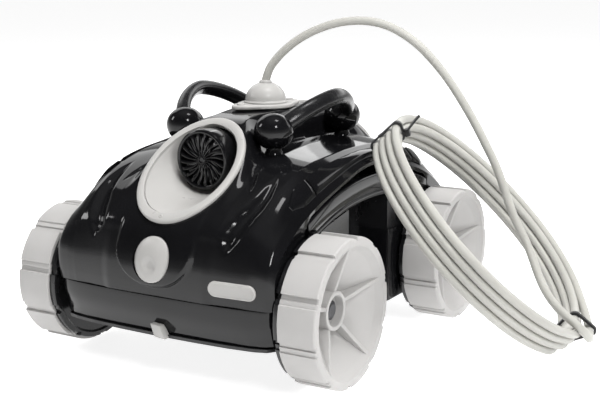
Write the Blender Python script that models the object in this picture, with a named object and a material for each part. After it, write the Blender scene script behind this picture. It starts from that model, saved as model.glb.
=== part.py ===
"""Pool cleaner driven by water jets, with its floating cable coiled beside it.

Metres, +Z up, origin on the floor under the middle of the body.  The front faces -Y, and the body is
the same left and right and front and rear, apart from its badge and its cable.
"""
import math

import bmesh
import bpy
from mathutils import Matrix, Vector

# ---------------------------------------------------------------- driving dimensions
GAP = 0.0003                      # clearance between pieces that touch

WHEEL_R = 0.0700                  # tread radius over the lugs
WHEEL_OUT = 0.1685                # outer face of a wheel from the middle plane
WHEEL_IN = 0.1311                 # inner face of a wheel
WHEEL_Y = 0.1253                  # half the wheelbase
LUGS = 10
GROOVE_DEPTH = 0.0022
RIBS = 5
HUB_R = 0.0185
HUB_BORE_R = 0.0144
HUB_END = 0.1516                  # outer end of the hub tube
AXLE_R = 0.0058
AXLE_BORE_R = 0.00586
DISC_OUT = 0.1307                 # black disc behind each wheel
DISC_IN = 0.1248

SHELL_T = 0.0028                  # wall of the mouldings
PART_Z = 0.0800                   # parting plane between the two shells
SIDE_X = 0.1240                   # half the width of the upper shell
LOWER_X = 0.1218                  # half the width of the lower shell
LOWER_Z = 0.0400                  # front edge of the lower shell
SKIRT_Z = 0.0310                  # side edge of the lower shell
POCKET_X = 0.0860                 # inner wall of the pocket between the wheels
POCKET_Y = 0.0420

PUMP_Z = 0.1947                   # height of the pump axis
NOZZLE_Y = 0.1331                 # middle of the nozzle rim
NOZZLE_Z = 0.1886
NOZZLE_SLOPE = math.radians(38.6)
RIM_LONG = 0.0658
RIM_WIDE = 0.0508
MOUTH_LONG = 0.0560
MOUTH_WIDE = 0.0440
DUCT_R = 0.0310
DUCT_Y = 0.0860
GUARD_R = 0.0293
GUARD_Y = 0.1172                  # outer face of the vaned guard

LATCH_Y = 0.1972                  # middle of a latch button
LATCH_Z = 0.1168
LATCH_TILT = math.radians(74.5)   # its face from the horizontal

KNOB_X = 0.0520
KNOB_Y = 0.0690
KNOB_Z = 0.2165
KNOB_R = 0.0150
BOW_X = 0.0475                    # foot of the handle bow
BOW_Z = 0.2128
BOW_HALF = 0.0685
BOW_RISE = 0.0504
BOW_LEAN = math.radians(45)
BOW_POWER = 1.66
BOW_START = math.radians(11.5)    # where the bar begins, inside its knob

DOME_R = 0.0210
FLANGE_Z = 0.2337
FLANGE_T = 0.0038
FLANGE_TURN = math.radians(-17)

CORD_D = 0.0085
COIL_CENTRE = Vector((0.2188, 0.0606, 0.1145))
COIL_TILT = math.radians(45.84)   # coil's axis from the vertical
COIL_TURN = math.radians(11.4)    # and round from +X
COIL_R = 0.1334                   # middle of the turns
COIL_HALF_W = 0.0172
COIL_HALF_T = 0.0082

# Route of the free cable, from the gland over its arch and down to the coil.
CORD_ROUTE = [
    (0.0000, 0.0000, 0.2592), (0.0010, 0.0003, 0.2655), (0.0046, 0.0015, 0.2730), (0.0130, 0.0041, 0.2835),
    (0.0248, 0.0079, 0.2934), (0.0397, 0.0126, 0.3052), (0.0594, 0.0189, 0.3160), (0.0780, 0.0248, 0.3210),
    (0.0885, 0.0281, 0.3219), (0.1049, 0.0333, 0.3196), (0.1222, 0.0388, 0.3115), (0.1414, 0.0449, 0.2968),
    (0.1606, 0.0510, 0.2780), (0.1818, 0.0577, 0.2545), (0.1992, 0.0633, 0.2310), (0.2140, 0.0681, 0.2070),
    (0.2260, 0.0719, 0.1820), (0.2411, 0.0766, 0.1440), (0.2523, 0.0801, 0.1140), (0.2638, 0.0838, 0.0800),
    (0.2733, 0.0868, 0.0540), (0.2785, 0.0888, 0.0440), (0.2846, 0.0900, 0.0335), (0.2916, 0.0909, 0.0236),
]

# Cross-section lines of the upper shell: each is a front profile of (y, z) from the parting plane to the
# crown, at one distance from the middle plane.  The rear is its mirror image.
CENTRE_LINE = [(-.1945, .0803), (-.2010, .092), (-.2020, .104), (-.1990, .118), (-.1915, .134), (-.1840, .147),
               (-.1600, .1665), (-.1330, .1880), (-.1080, .2080), (-.0840, .2265), (-.0600, .2312),
               (-.0300, .2326), (0, .2330)]
FACE_LINE = [(-.1945, .0803), (-.1960, .092), (-.1960, .104), (-.1940, .117), (-.1885, .134), (-.1830, .147),
             (-.1600, .1660), (-.1330, .1875), (-.1080, .2075), (-.0840, .2260), (-.0600, .2308),
             (-.0300, .2322), (0, .2326)]
BONNET_LINE = [(-.1928, .0803), (-.1945, .092), (-.1945, .104), (-.1925, .117), (-.1872, .134), (-.1810, .147),
               (-.1610, .1645), (-.1330, .1800), (-.1080, .1900), (-.0840, .1970), (-.0580, .2000),
               (-.0290, .2018), (0, .2024)]
CREST_LINE = [(-.1905, .0803), (-.1925, .092), (-.1928, .104), (-.1905, .117), (-.1840, .133), (-.1755, .146),
              (-.1560, .1630), (-.1330, .1770), (-.1100, .1860), (-.0850, .1920), (-.0580, .1950),
              (-.0290, .1962), (0, .1966)]
SHOULDER_LINE = [(-.1895, .0803), (-.1915, .092), (-.1920, .104), (-.1900, .117), (-.1830, .131),
                 (-.1735, .143), (-.1540, .1590), (-.1325, .1720), (-.1090, .1805), (-.0840, .1860),
                 (-.0570, .1893), (-.0290, .1910), (0, .1920)]
STRIP_LINE = [(-.1880, .0803), (-.1900, .092), (-.1905, .104), (-.1880, .117), (-.1800, .129), (-.1700, .139),
              (-.1500, .1515), (-.1305, .1610), (-.1080, .1690), (-.0835, .1755), (-.0565, .1815),
              (-.0285, .1870), (0, .1895)]
SIDE_LINE = [(-.1840, .0803), (-.1860, .092), (-.1860, .104), (-.1825, .116), (-.1745, .126), (-.1640, .135),
             (-.1460, .1460), (-.1280, .1545), (-.1070, .1625), (-.0825, .1695), (-.0560, .1765),
             (-.0285, .1830), (0, .1860)]
EDGE_LINE = [(-.1800, .0803), (-.1790, .0803), (-.1770, .0803), (-.1720, .0803), (-.1630, .0803),
             (-.1520, .0803), (-.1410, .1180), (-.1268, .1495), (-.1065, .1585), (-.0825, .1660),
             (-.0560, .1730), (-.0285, .1795), (0, .1825)]
TONGUE_X = 0.045                  # half the width of the bonnet's tongue round the latch
BONNET_X = 0.064
CREST_X = 0.097
SHOULDER_X = 0.1075
STRIP_X = 0.1180
# Where the bonnet's flat top ends and where its flank has come down, for each point of a profile.
FLANK = [(.052, .064)] * 7 + [(.050, .064), (.042, .062), (.026, .050), (.020, .043), (.024, .047), (.026, .050)]

COLOURS = {
    "gloss_black": ((0.012, 0.012, 0.014), 0.12, 0.0),
    "matte_black": ((0.020, 0.020, 0.022), 0.45, 0.0),
    "light_grey": ((0.62, 0.61, 0.60), 0.35, 0.0),
    "dark_grey": ((0.10, 0.10, 0.11), 0.45, 0.0),
    "cable_grey": ((0.42, 0.41, 0.38), 0.50, 0.0),
    "steel": ((0.62, 0.62, 0.64), 0.28, 1.0),
    "filter_cloth": ((0.80, 0.80, 0.78), 0.90, 0.0),
    "float_foam": ((0.75, 0.76, 0.72), 0.85, 0.0),
}


# ---------------------------------------------------------------- helpers
def make_material(object_name, kind):
    """One Principled material for each object."""
    colour, roughness, metallic = COLOURS[kind]
    material = bpy.data.materials.new(object_name + "_" + kind)
    material.use_nodes = True
    shader = material.node_tree.nodes["Principled BSDF"]
    shader.inputs["Base Color"].default_value = (*colour, 1.0)
    shader.inputs["Roughness"].default_value = roughness
    shader.inputs["Metallic"].default_value = metallic
    material.diffuse_color = (*colour, 1.0)
    return material


def add_object(name, bm, kind, smooth=None, parent=None):
    """Turn a bmesh into a named object; smooth is the angle below which edges are shaded smooth."""
    bmesh.ops.recalc_face_normals(bm, faces=bm.faces)
    mesh = bpy.data.meshes.new(name)
    bm.to_mesh(mesh)
    bm.free()
    if smooth:
        mesh.shade_smooth()
        mesh.set_sharp_from_angle(angle=math.radians(smooth))
    obj = bpy.data.objects.new(name, mesh)
    bpy.context.collection.objects.link(obj)
    mesh.materials.append(make_material(name, kind))
    if parent:
        obj.parent = parent
    return obj


def add_empty(name, place):
    empty = bpy.data.objects.new(name, None)
    empty.location = place
    bpy.context.collection.objects.link(empty)
    return empty


def loft(bm, rings, loop=False):
    """Skin rings of equal point counts; the two end rings are capped unless the rings close on themselves."""
    rows = [[bm.verts.new(point) for point in ring] for ring in rings]
    count = len(rows[0])
    pairs = list(zip(rows, rows[1:]))
    if loop:
        pairs.append((rows[-1], rows[0]))
    for low, high in pairs:
        for i in range(count):
            j = (i + 1) % count
            bm.faces.new((low[i], low[j], high[j], high[i]))
    if not loop:
        bm.faces.new(rows[0])
        bm.faces.new(rows[-1])
    return bm


def circle(radius, count, start=0.0):
    step = 2 * math.pi / count
    return [(radius * math.cos(start + i * step), radius * math.sin(start + i * step)) for i in range(count)]


def turned(profile, count, bore=False):
    """Solid of revolution about Z from (radius, z) points; a bored one closes its profile on itself."""
    rings = [[(x, y, z) for x, y in circle(radius, count)] for radius, z in profile]
    return loft(bmesh.new(), rings, loop=bore)


def box(size, centre=(0, 0, 0)):
    bm = bmesh.new()
    bmesh.ops.create_cube(bm, size=1.0)
    bmesh.ops.scale(bm, vec=size, verts=bm.verts)
    bmesh.ops.translate(bm, vec=centre, verts=bm.verts)
    return bm


def turn_bm(bm, matrix):
    bmesh.ops.transform(bm, matrix=matrix, verts=bm.verts)
    return bm


def bevel(obj, width, segments=1):
    modifier = obj.modifiers.new("Bevel", "BEVEL")
    modifier.width = width
    modifier.segments = segments
    modifier.limit_method = "ANGLE"
    modifier.angle_limit = math.radians(50)
    return obj


def hide_cutter(obj):
    obj.hide_render = True
    obj.display_type = "WIRE"
    return obj


def boolean(obj, other, operation):
    modifier = obj.modifiers.new(operation.title() + "_" + other.name, "BOOLEAN")
    modifier.operation = operation
    modifier.solver = "EXACT"
    modifier.object = other
    return obj


def lerp(a, b, t):
    return a + (b - a) * t


def smoothstep(t):
    t = min(max(t, 0.0), 1.0)
    return t * t * (3 - 2 * t)


def mix_points(a, b, t):
    return (lerp(a[0], b[0], t), lerp(a[1], b[1], t))


# ---------------------------------------------------------------- upper shell
def shell_point(x, k):
    """Point (y, z) of the upper shell's outer face at distance x from the middle, for profile point k."""
    tongue = 1.0 - smoothstep((x - TONGUE_X + 0.001) / 0.002) if k <= 5 else 0.0
    top = mix_points(FACE_LINE[k], CENTRE_LINE[k], tongue)
    if x <= BONNET_X:
        start, end = FLANK[k]
        return mix_points(top, BONNET_LINE[k], smoothstep((x - start) / (end - start)))
    stations = [(BONNET_X, BONNET_LINE), (CREST_X, CREST_LINE), (SHOULDER_X, SHOULDER_LINE),
                (STRIP_X, STRIP_LINE), (SIDE_X, SIDE_LINE)]
    for (x0, line0), (x1, line1) in zip(stations, stations[1:]):
        if x <= x1 + 1e-9:
            return mix_points(line0[k], line1[k], (x - x0) / (x1 - x0))
    return SIDE_LINE[k]


def shell_columns():
    """Distances from the middle plane at which the shell's grid has a column."""
    return [0.0, 0.018, 0.029, 0.037, 0.044, 0.0462, 0.055, BONNET_X, 0.081, CREST_X, SHOULDER_X, STRIP_X, SIDE_X]


def shell_column(x, side):
    """Outer points of one column from the front parting edge over the crown to the rear one."""
    last = len(CENTRE_LINE) - 1
    front = [shell_point(x, k) for k in range(last + 1)]
    points = [(side * x, y, z) for y, z in front]
    points += [(side * x, -y, z) for y, z in reversed(front[:-1])]
    return points


def edge_column(side):
    front = [(side * (SIDE_X - 0.0004), y, z) for y, z in EDGE_LINE]
    return front + [(x, -y, z) for x, y, z in reversed(front[:-1])]


def shell_grid():
    columns = [edge_column(-1)]
    columns += [shell_column(x, -1) for x in reversed(shell_columns()[1:])]
    columns += [shell_column(x, 1) for x in shell_columns()]
    columns.append(edge_column(1))
    return columns


def build_upper_shell():
    columns = shell_grid()
    bm = bmesh.new()
    rows = [[bm.verts.new(point) for point in column] for column in columns]
    for left, right in zip(rows, rows[1:]):
        for i in range(len(left) - 1):
            bm.faces.new((left[i], right[i], right[i + 1], left[i + 1]))
    bmesh.ops.triangulate(bm, faces=bm.faces, quad_method="SHORT_EDGE")
    bm.normal_update()
    outer = list(bm.verts)
    normals = [vert.normal.copy() for vert in outer]
    up = 1.0 if normals[len(outer) // 2].z > 0 else -1.0
    parting = PART_Z + GAP
    inner = {}
    for vert, normal in zip(outer, normals):
        place = vert.co - normal * up * SHELL_T
        if vert.co.z < parting + 1e-5:
            place.z = parting
        inner[vert] = bm.verts.new(place)
    for face in list(bm.faces):
        bm.faces.new([inner[vert] for vert in reversed(face.verts)])
    border = [edge for edge in bm.edges if edge.is_boundary and edge.verts[0] in inner and edge.verts[1] in inner]
    for edge in border:
        a, b = edge.verts
        bm.faces.new((a, b, inner[b], inner[a]))
    shell = add_object("upper_shell", bm, "gloss_black", smooth=35)
    for end in (-1, 1):
        cut = loft(bmesh.new(), [slanted_ellipse(end, RIM_LONG - 0.0030, RIM_WIDE - 0.0030, -0.030),
                                 slanted_ellipse(end, RIM_LONG - 0.0030, RIM_WIDE - 0.0030, 0.030)])
        boolean(shell, hide_cutter(add_object(f"cutter_nozzle_{end_name(end)}", cut, "matte_black")), "DIFFERENCE")
        hole = turned([(1.0, -0.02), (1.0, 0.02)], 22)
        bmesh.ops.scale(hole, vec=(0.0191, 0.0207, 1.0), verts=hole.verts)
        turn_bm(hole, latch_frame(end))
        boolean(shell, hide_cutter(add_object(f"cutter_latch_{end_name(end)}", hole, "matte_black")), "DIFFERENCE")
    gland = turned([(0.0070, 0.215), (0.0070, 0.250)], 16)
    boolean(shell, hide_cutter(add_object("cutter_gland", gland, "matte_black")), "DIFFERENCE")
    return shell


def end_name(end):
    return "front" if end < 0 else "rear"


def side_name(side):
    return "right" if side > 0 else "left"


def slanted_ellipse(end, long, wide, height, count=28):
    """Ellipse in the plane of a nozzle's rim, raised by height along that plane's normal."""
    along = Vector((0, -end * math.cos(NOZZLE_SLOPE), math.sin(NOZZLE_SLOPE)))
    normal = Vector((0, end * math.sin(NOZZLE_SLOPE), math.cos(NOZZLE_SLOPE)))
    centre = Vector((0, end * NOZZLE_Y, NOZZLE_Z)) + normal * height
    points = []
    for i in range(count):
        a = 2 * math.pi * i / count
        points.append(centre + along * long * math.sin(a) + Vector((1, 0, 0)) * wide * math.cos(a))
    return points


def upright_circle(end, radius, y, count=36):
    return [Vector((radius * math.cos(2 * math.pi * i / count), end * y,
                    PUMP_Z + radius * math.sin(2 * math.pi * i / count))) for i in range(count)]


def latch_frame(end):
    """Frame at a latch button: its +Z points out of the shell."""
    outward = Vector((0, end * math.sin(LATCH_TILT), math.cos(LATCH_TILT)))
    across = Vector((1, 0, 0))
    upward = outward.cross(across)
    matrix = Matrix((across, upward, outward)).transposed().to_4x4()
    return Matrix.Translation((0, end * LATCH_Y, LATCH_Z)) @ matrix


def build_nozzle(end):
    """Funnel from the slanted rim back to the round throat of the jet duct."""
    lip = 0.0022
    under = 0.0006

    def collar(radius, near, far):
        points = []
        for i in range(28):
            a = 2 * math.pi * i / 28
            y = lerp(near, far, 0.5 + 0.5 * math.sin(a))
            points.append(Vector((radius * math.cos(a), end * y, PUMP_Z + radius * math.sin(a))))
        return points

    rings = [
        slanted_ellipse(end, RIM_LONG, RIM_WIDE, under, 28),
        slanted_ellipse(end, RIM_LONG - 0.0006, RIM_WIDE - 0.0006, lip, 28),
        slanted_ellipse(end, MOUTH_LONG, MOUTH_WIDE, lip, 28),
        collar(0.0303, 0.0970, 0.0905),
        collar(0.0268, 0.0850, 0.0850),
        collar(0.0262, 0.0620, 0.0620),
        collar(0.0280, 0.0620, 0.0620),
        collar(0.0285, 0.0800, 0.0800),
        slanted_ellipse(end, RIM_LONG - 0.0042, RIM_WIDE - 0.0042, -0.0030, 28),
        slanted_ellipse(end, RIM_LONG - 0.0042, RIM_WIDE - 0.0042, under, 28),
    ]
    bm = loft(bmesh.new(), rings, loop=True)
    add_object("nozzle_" + end_name(end), bm, "light_grey", smooth=40)


def build_guard(end, vanes=16):
    """Round cup over the jet, its face cut into curved vanes about a hub boss."""
    length = 0.0212
    wall = 0.0020
    face = 0.0030
    rings = []
    for radius, z in [(GUARD_R, length), (GUARD_R, 0.0008), (GUARD_R - 0.0008, 0.0)]:
        rings.append([(x, y, z) for x, y in circle(radius, 28)])
    for radius, z in [(GUARD_R - wall, face), (GUARD_R - wall, length)]:
        rings.append([(x, y, z) for x, y in circle(radius, 28)])
    bm = bmesh.new()
    rows = [[bm.verts.new(point) for point in ring] for ring in rings]
    for low, high in list(zip(rows, rows[1:]))[:2] + [(rows[3], rows[4]), (rows[4], rows[0])]:
        for i in range(28):
            j = (i + 1) % 28
            bm.faces.new((low[i], low[j], high[j], high[i]))
    bm.faces.new(rows[2])
    bm.faces.new(rows[3])
    out = Matrix.Rotation(end * math.radians(90), 4, "X")
    place = Matrix.Translation((0, end * GUARD_Y, PUMP_Z)) @ out
    turn_bm(bm, place)
    guard = add_object("guard_" + end_name(end), bm, "matte_black", smooth=40)
    slots = bmesh.new()
    for i in range(vanes):
        middle = 2 * math.pi * i / vanes
        outline = []
        for part, sign in ((0, 1), (1, 1), (2, 1), (2, -1), (1, -1), (0, -1)):
            radius = (0.0085, 0.0165, 0.0255)[part]
            lean = (0.0, 0.20, 0.62)[part]
            half = math.pi / vanes - (0.00085 / radius)
            angle = middle + lean + sign * half
            outline.append((radius * math.cos(angle), radius * math.sin(angle)))
        low = [slots.verts.new((x, y, -0.002)) for x, y in outline]
        high = [slots.verts.new((x, y, face + 0.002)) for x, y in outline]
        slots.faces.new(low)
        slots.faces.new(high)
        for j in range(6):
            k = (j + 1) % 6
            slots.faces.new((low[j], low[k], high[k], high[j]))
    turn_bm(slots, place)
    cutter = hide_cutter(add_object("cutter_guard_" + end_name(end), slots, "matte_black"))
    boolean(guard, cutter, "DIFFERENCE")


# ---------------------------------------------------------------- lower body
def fender_top(y):
    return 0.1725 - 0.0305 * (abs(y) / 0.142) ** 2.2


def body_outline(side_x, pocket_x, inset):
    """Plan of the lower body with the pocket between the wheels; anticlockwise from the front middle."""
    quarter = [(0.0, 0.1960), (0.0450, 0.1952), (0.0800, 0.1935), (0.1050, 0.1905), (0.1170, 0.1865),
               (side_x, 0.1795), (side_x, 0.1503), (side_x, 0.1420), (side_x, 0.1250), (side_x, 0.0850),
               (side_x, POCKET_Y), (pocket_x, POCKET_Y), (pocket_x, 0.0)]
    points = []
    for i, (x, y) in enumerate(quarter):
        y_in = y - inset if i < 6 else y
        if i in (10, 11):
            y_in = y + inset
        points.append((max(x - inset, 0.0) if i else 0.0, y_in))
    right_front = [(x, -y) for x, y in points]
    right_rear = [(x, y) for x, y in reversed(points[:-1])]
    left_rear = [(-x, y) for x, y in points[1:]]
    left_front = [(-x, -y) for x, y in reversed(points[1:-1])]
    return right_front + right_rear + left_rear + left_front


def wall_solid(outer, inner, bottom, top):
    """Upright wall between two plan outlines, with its bottom and top heights given for each plan point."""
    bm = bmesh.new()
    rows = []
    for outline, height in ((outer, bottom), (outer, top), (inner, top), (inner, bottom)):
        rows.append([bm.verts.new((x, y, height(x, y))) for x, y in outline])
    count = len(outer)
    for low, high in zip(rows, rows[1:] + rows[:1]):
        for i in range(count):
            j = (i + 1) % count
            bm.faces.new((low[i], low[j], high[j], high[i]))
    return bm


def build_lower_shell():
    outer = body_outline(LOWER_X, POCKET_X, 0.0)
    inner = body_outline(LOWER_X, POCKET_X, SHELL_T)

    def bottom(x, y):
        if abs(y) < 0.150:
            return SKIRT_Z
        if abs(x) > 0.112:
            return LOWER_Z + 0.006
        return LOWER_Z

    def top(x, y):
        return PART_Z - GAP if abs(y) > 0.1455 else 0.1077

    add_object("lower_shell", wall_solid(outer, inner, bottom, top), "gloss_black", smooth=35)


def build_chassis():
    """Inner tub above the lower shell: it carries the fender bands and the pump deck."""
    side = 0.1196

    def outline(inset):
        quarter = [(0.0, 0.1300), (side - 0.006, 0.1300), (side, 0.1240), (side, 0.0850), (side, POCKET_Y),
                   (POCKET_X, POCKET_Y), (POCKET_X, 0.0)]
        points = []
        for i, (x, y) in enumerate(quarter):
            y_in = y - inset if i < 3 else y
            if i in (4, 5):
                y_in = y + inset
            points.append((max(x - inset, 0.0) if i else 0.0, y_in))
        right = [(x, -y) for x, y in points] + [(x, y) for x, y in reversed(points[:-1])]
        return right + [(-x, y) for x, y in points[1:]] + [(-x, -y) for x, y in reversed(points[1:-1])]

    def bottom(x, y):
        return 0.1080

    def top(x, y):
        return fender_top(min(abs(y), 0.127)) - 0.0258

    add_object("chassis", wall_solid(outline(0.0), outline(SHELL_T), bottom, top), "matte_black", smooth=30)


def build_base_plate():
    """Floor of the cleaner with two intake mouths that reach down near the ground."""
    plate_z = 0.0410
    plate_t = 0.0030
    outline = body_outline(LOWER_X, POCKET_X, SHELL_T + 0.0005)
    rings = [[(x, y, plate_z) for x, y in outline], [(x, y, plate_z + plate_t) for x, y in outline]]
    plate = add_object("base_plate", loft(bmesh.new(), rings), "matte_black")
    for side in (-1, 1):
        skirt = box((0.060, 0.070, 0.034), (side * 0.040, 0, 0.0260))
        cutter = add_object("guide_skirt_" + side_name(side), skirt, "matte_black")
        boolean(plate, hide_cutter(cutter), "UNION")
        mouth = box((0.055, 0.065, 0.060), (side * 0.040, 0, 0.0250))
        cutter = add_object("cutter_mouth_" + side_name(side), mouth, "matte_black")
        boolean(plate, hide_cutter(cutter), "DIFFERENCE")


def build_flaps():
    """One flap over each intake mouth, hinged along its inner edge."""
    for side in (-1, 1):
        hinge = add_empty("hinge_flap_" + side_name(side), (side * 0.0085, 0, 0.0465))
        bm = box((0.0600, 0.0700, 0.0014), (side * 0.0315, 0, 0))
        add_object("intake_flap_" + side_name(side), bm, "dark_grey", parent=hinge)


def build_filter():
    """Cloth bag over the intake mouths, open below."""
    bag = add_object("filter_bag", box((0.156, 0.150, 0.0990), (0, 0, 0.0945)), "filter_cloth")
    room = add_object("cutter_bag", box((0.153, 0.147, 0.1040), (0, 0, 0.0905)), "filter_cloth")
    boolean(bag, hide_cutter(room), "DIFFERENCE")


def build_floats():
    for end in (-1, 1):
        bm = box((0.2200, 0.0380, 0.0560), (0, end * 0.1060, 0.0900))
        bevel(add_object("float_" + end_name(end), bm, "float_foam"), 0.004)


def build_fenders():
    """Band along each side above the wheels, with a thin lip below it."""
    for side in (-1, 1):
        rings = []
        for i in range(15):
            y = lerp(-0.127, 0.127, i / 14)
            top = fender_top(y)
            section = [(0.1162, top), (0.1232, top), (0.1242, top - 0.001), (0.1242, top - 0.016),
                       (0.1232, top - 0.017), (0.1215, top - 0.017), (0.1215, top - 0.024), (0.1162, top - 0.024)]
            rings.append([(side * x, y, z) for x, z in section])
        add_object("fender_" + side_name(side), loft(bmesh.new(), rings), "gloss_black", smooth=35)


def build_trims():
    """Raised strip along each shoulder of the upper shell."""
    for side in (-1, 1):
        rings = []
        half = [6.6, 7.0, 7.5, 8.0, 8.5, 9.0, 9.5, 10.0, 11.0, 12.0]
        for t, mirrored in [(t, False) for t in half] + [(t, True) for t in reversed(half[:-1])]:
            k = min(int(t), 11)
            inner = mix_points(SHOULDER_LINE[k], SHOULDER_LINE[k + 1], t - k)
            outer = mix_points(STRIP_LINE[k], STRIP_LINE[k + 1], t - k)
            y_sign = -1 if mirrored else 1
            lift = 0.0022
            thick = lift + 0.0026 * min(1.0, 0.45 + (t - 6.6) / 1.2)
            section = [(-0.055, lift), (0.055, thick), (0.55, thick + 0.0012), (1.04, thick), (1.11, lift)]
            ring = []
            for across, height in section:
                y, z = mix_points(inner, outer, across)
                ring.append((side * lerp(SHOULDER_X, STRIP_X, across), y_sign * y, z + height))
            rings.append(ring)
        add_object("shoulder_trim_" + side_name(side), loft(bmesh.new(), rings), "gloss_black", smooth=40)


def build_badge():
    """Blank pill-shaped plate on the right of the front face."""
    centre_x, centre_z = 0.0845, 0.0965
    half_l, half_h = 0.0240, 0.0072

    def face_y(x, z):
        lower, upper = (1, 2) if z >= CENTRE_LINE[1][1] else (0, 1)
        a, b = shell_point(x, lower), shell_point(x, upper)
        return lerp(a[0], b[0], (z - a[1]) / (b[1] - a[1]))

    rings = []
    for shrink, lift in ((0.0, 0.0006), (0.0, 0.0018), (0.0008, 0.0024)):
        ring = []
        for i in range(24):
            a = 2 * math.pi * (i + 0.5) / 24
            radius = half_h - shrink
            x = centre_x + radius * math.cos(a) + math.copysign(half_l - half_h, math.cos(a))
            z = centre_z + radius * math.sin(a)
            ring.append((x, face_y(x, z) - lift, z))
        rings.append(ring)
    add_object("badge_plate", loft(bmesh.new(), rings), "light_grey", smooth=40)


def build_release_tab():
    """Small tab that reaches down over the front edge of the lower shell."""
    corners = [(-0.0040, 0.0545), (0.0070, 0.0535), (0.0130, 0.0410), (0.0005, 0.0420)]
    rings = [[(x, y, z) for x, z in corners] for y in (-0.1963, -0.1984)]
    bevel(add_object("release_tab", loft(bmesh.new(), rings), "light_grey"), 0.0005)


# ---------------------------------------------------------------- latches
def build_latch(end):
    """Oval push button in the tongue of the bonnet, with its return spring and seat."""
    frame = add_empty("slide_latch_" + end_name(end), (0, 0, 0))
    frame.matrix_world = latch_frame(end)
    rings = []
    for scale, height in ((0.96, -0.0065), (1.0, -0.0060), (1.0, 0.0003), (0.90, 0.0019),
                          (0.60, 0.0035), (0.20, 0.0043)):
        rings.append([(0.0186 * scale * x, 0.0202 * scale * y, height) for x, y in circle(1.0, 22)])
    button = add_object("latch_" + end_name(end), loft(bmesh.new(), rings), "light_grey", smooth=40, parent=frame)
    dimple = turned([(0.0100, 0.0060), (0.0075, 0.0040), (0.0040, 0.0024)], 16)
    bmesh.ops.translate(dimple, vec=(0, end * 0.0062, 0), verts=dimple.verts)
    cutter = hide_cutter(add_object("cutter_dimple_" + end_name(end), dimple, "light_grey", parent=frame))
    boolean(button, cutter, "DIFFERENCE")
    rings = []
    turns, steps, wire, radius = 3, 8, 0.0006, 0.0050
    for i in range(turns * steps + 1):
        a = 2 * math.pi * i / steps
        z = -0.0074 - 0.0066 * i / (turns * steps)
        ring = []
        for j in range(4):
            b = 2 * math.pi * j / 4
            r = radius + wire * math.cos(b)
            ring.append((r * math.cos(a), r * math.sin(a), z + wire * math.sin(b)))
        rings.append(ring)
    add_object("latch_spring_" + end_name(end), loft(bmesh.new(), rings), "steel", smooth=60, parent=frame)


# ---------------------------------------------------------------- wheels
def lugged_ring(profile):
    """Turned body about +X with grooves between its lugs.

    profile is a closed loop of (radius, x, groove); groove 1 lowers the point in a groove.
    """
    rings = []
    pitch = 2 * math.pi / LUGS
    for lug in range(LUGS):
        for share, low in ((0.0, 1), (0.235, 1), (0.265, 0), (0.97, 0)):
            a = math.radians(82.5) + pitch * (lug + share)
            ring = []
            for radius, x, groove in profile:
                r = radius - GROOVE_DEPTH * low * groove
                ring.append((x, r * math.cos(a), r * math.sin(a)))
            rings.append(ring)
    return loft(bmesh.new(), rings, loop=True)


def wheel_profile():
    return [(WHEEL_R, WHEEL_IN, 1), (WHEEL_R, 0.1672, 1), (0.0690, WHEEL_OUT, 1), (0.0612, WHEEL_OUT, 0),
            (0.0240, 0.1390, 0), (HUB_R, 0.1378, 0), (HUB_R, HUB_END, 0),
            (HUB_BORE_R, HUB_END, 0), (HUB_BORE_R, 0.1430, 0), (AXLE_R + 0.0004, 0.1430, 0),
            (AXLE_R + 0.0004, 0.1344, 0), (0.0220, 0.1350, 0), (0.0640, 0.1625, 0), (0.0640, WHEEL_IN, 0)]


def build_wheel(end, side):
    name = f"{end_name(end)}_{side_name(side)}"
    hub = add_empty("axis_wheel_" + name, (0, end * WHEEL_Y, WHEEL_R))
    if side < 0:
        hub.rotation_euler = (0, 0, math.pi)
    wheel = add_object("wheel_" + name, lugged_ring(wheel_profile()), "light_grey", smooth=40, parent=hub)
    ribs = bmesh.new()
    section = [(0.0165, 0.1385), (0.0240, 0.1372), (0.0604, 0.1650), (0.0602, 0.1674), (0.0165, 0.1509)]
    for i in range(RIBS):
        a = math.radians(90) + 2 * math.pi * i / RIBS
        across = Vector((0, -math.sin(a), math.cos(a)))
        outward = Vector((0, math.cos(a), math.sin(a)))
        rows = []
        for half in (-0.0020, 0.0020):
            rows.append([ribs.verts.new(Vector((x, 0, 0)) + outward * r + across * half) for r, x in section])
        ribs.faces.new(rows[0])
        ribs.faces.new(rows[1])
        for j in range(len(section)):
            k = (j + 1) % len(section)
            ribs.faces.new((rows[0][j], rows[0][k], rows[1][k], rows[1][j]))
    ribs_object = add_object("guide_ribs_" + name, ribs, "light_grey", parent=hub)
    boolean(wheel, hide_cutter(ribs_object), "UNION")

    profile = [(0.0688, DISC_IN, 1), (0.0696, DISC_IN + 0.0008, 1), (0.0696, DISC_OUT, 1),
               (AXLE_R + 0.0004, DISC_OUT, 0), (AXLE_R + 0.0004, DISC_IN, 0)]
    add_object("wheel_disc_" + name, lugged_ring(profile), "matte_black", smooth=40, parent=hub)

    axle = [(0.0090, 0.1221), (0.0090, 0.1240), (AXLE_R, 0.1240), (AXLE_R, 0.1442)]
    bm = turn_bm(turned(axle, 12), Matrix.Rotation(math.radians(90), 4, "Y"))
    add_object("axle_" + name, bm, "steel", smooth=40, parent=hub)

    screw = [(0.0090, 0.1446), (0.0090, 0.1462), (0.0060, 0.1478), (0.0030, 0.1478)]
    bm = turn_bm(turned(screw, 14), Matrix.Rotation(math.radians(90), 4, "Y"))
    add_object("hub_screw_" + name, bm, "steel", smooth=40, parent=hub)


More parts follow.
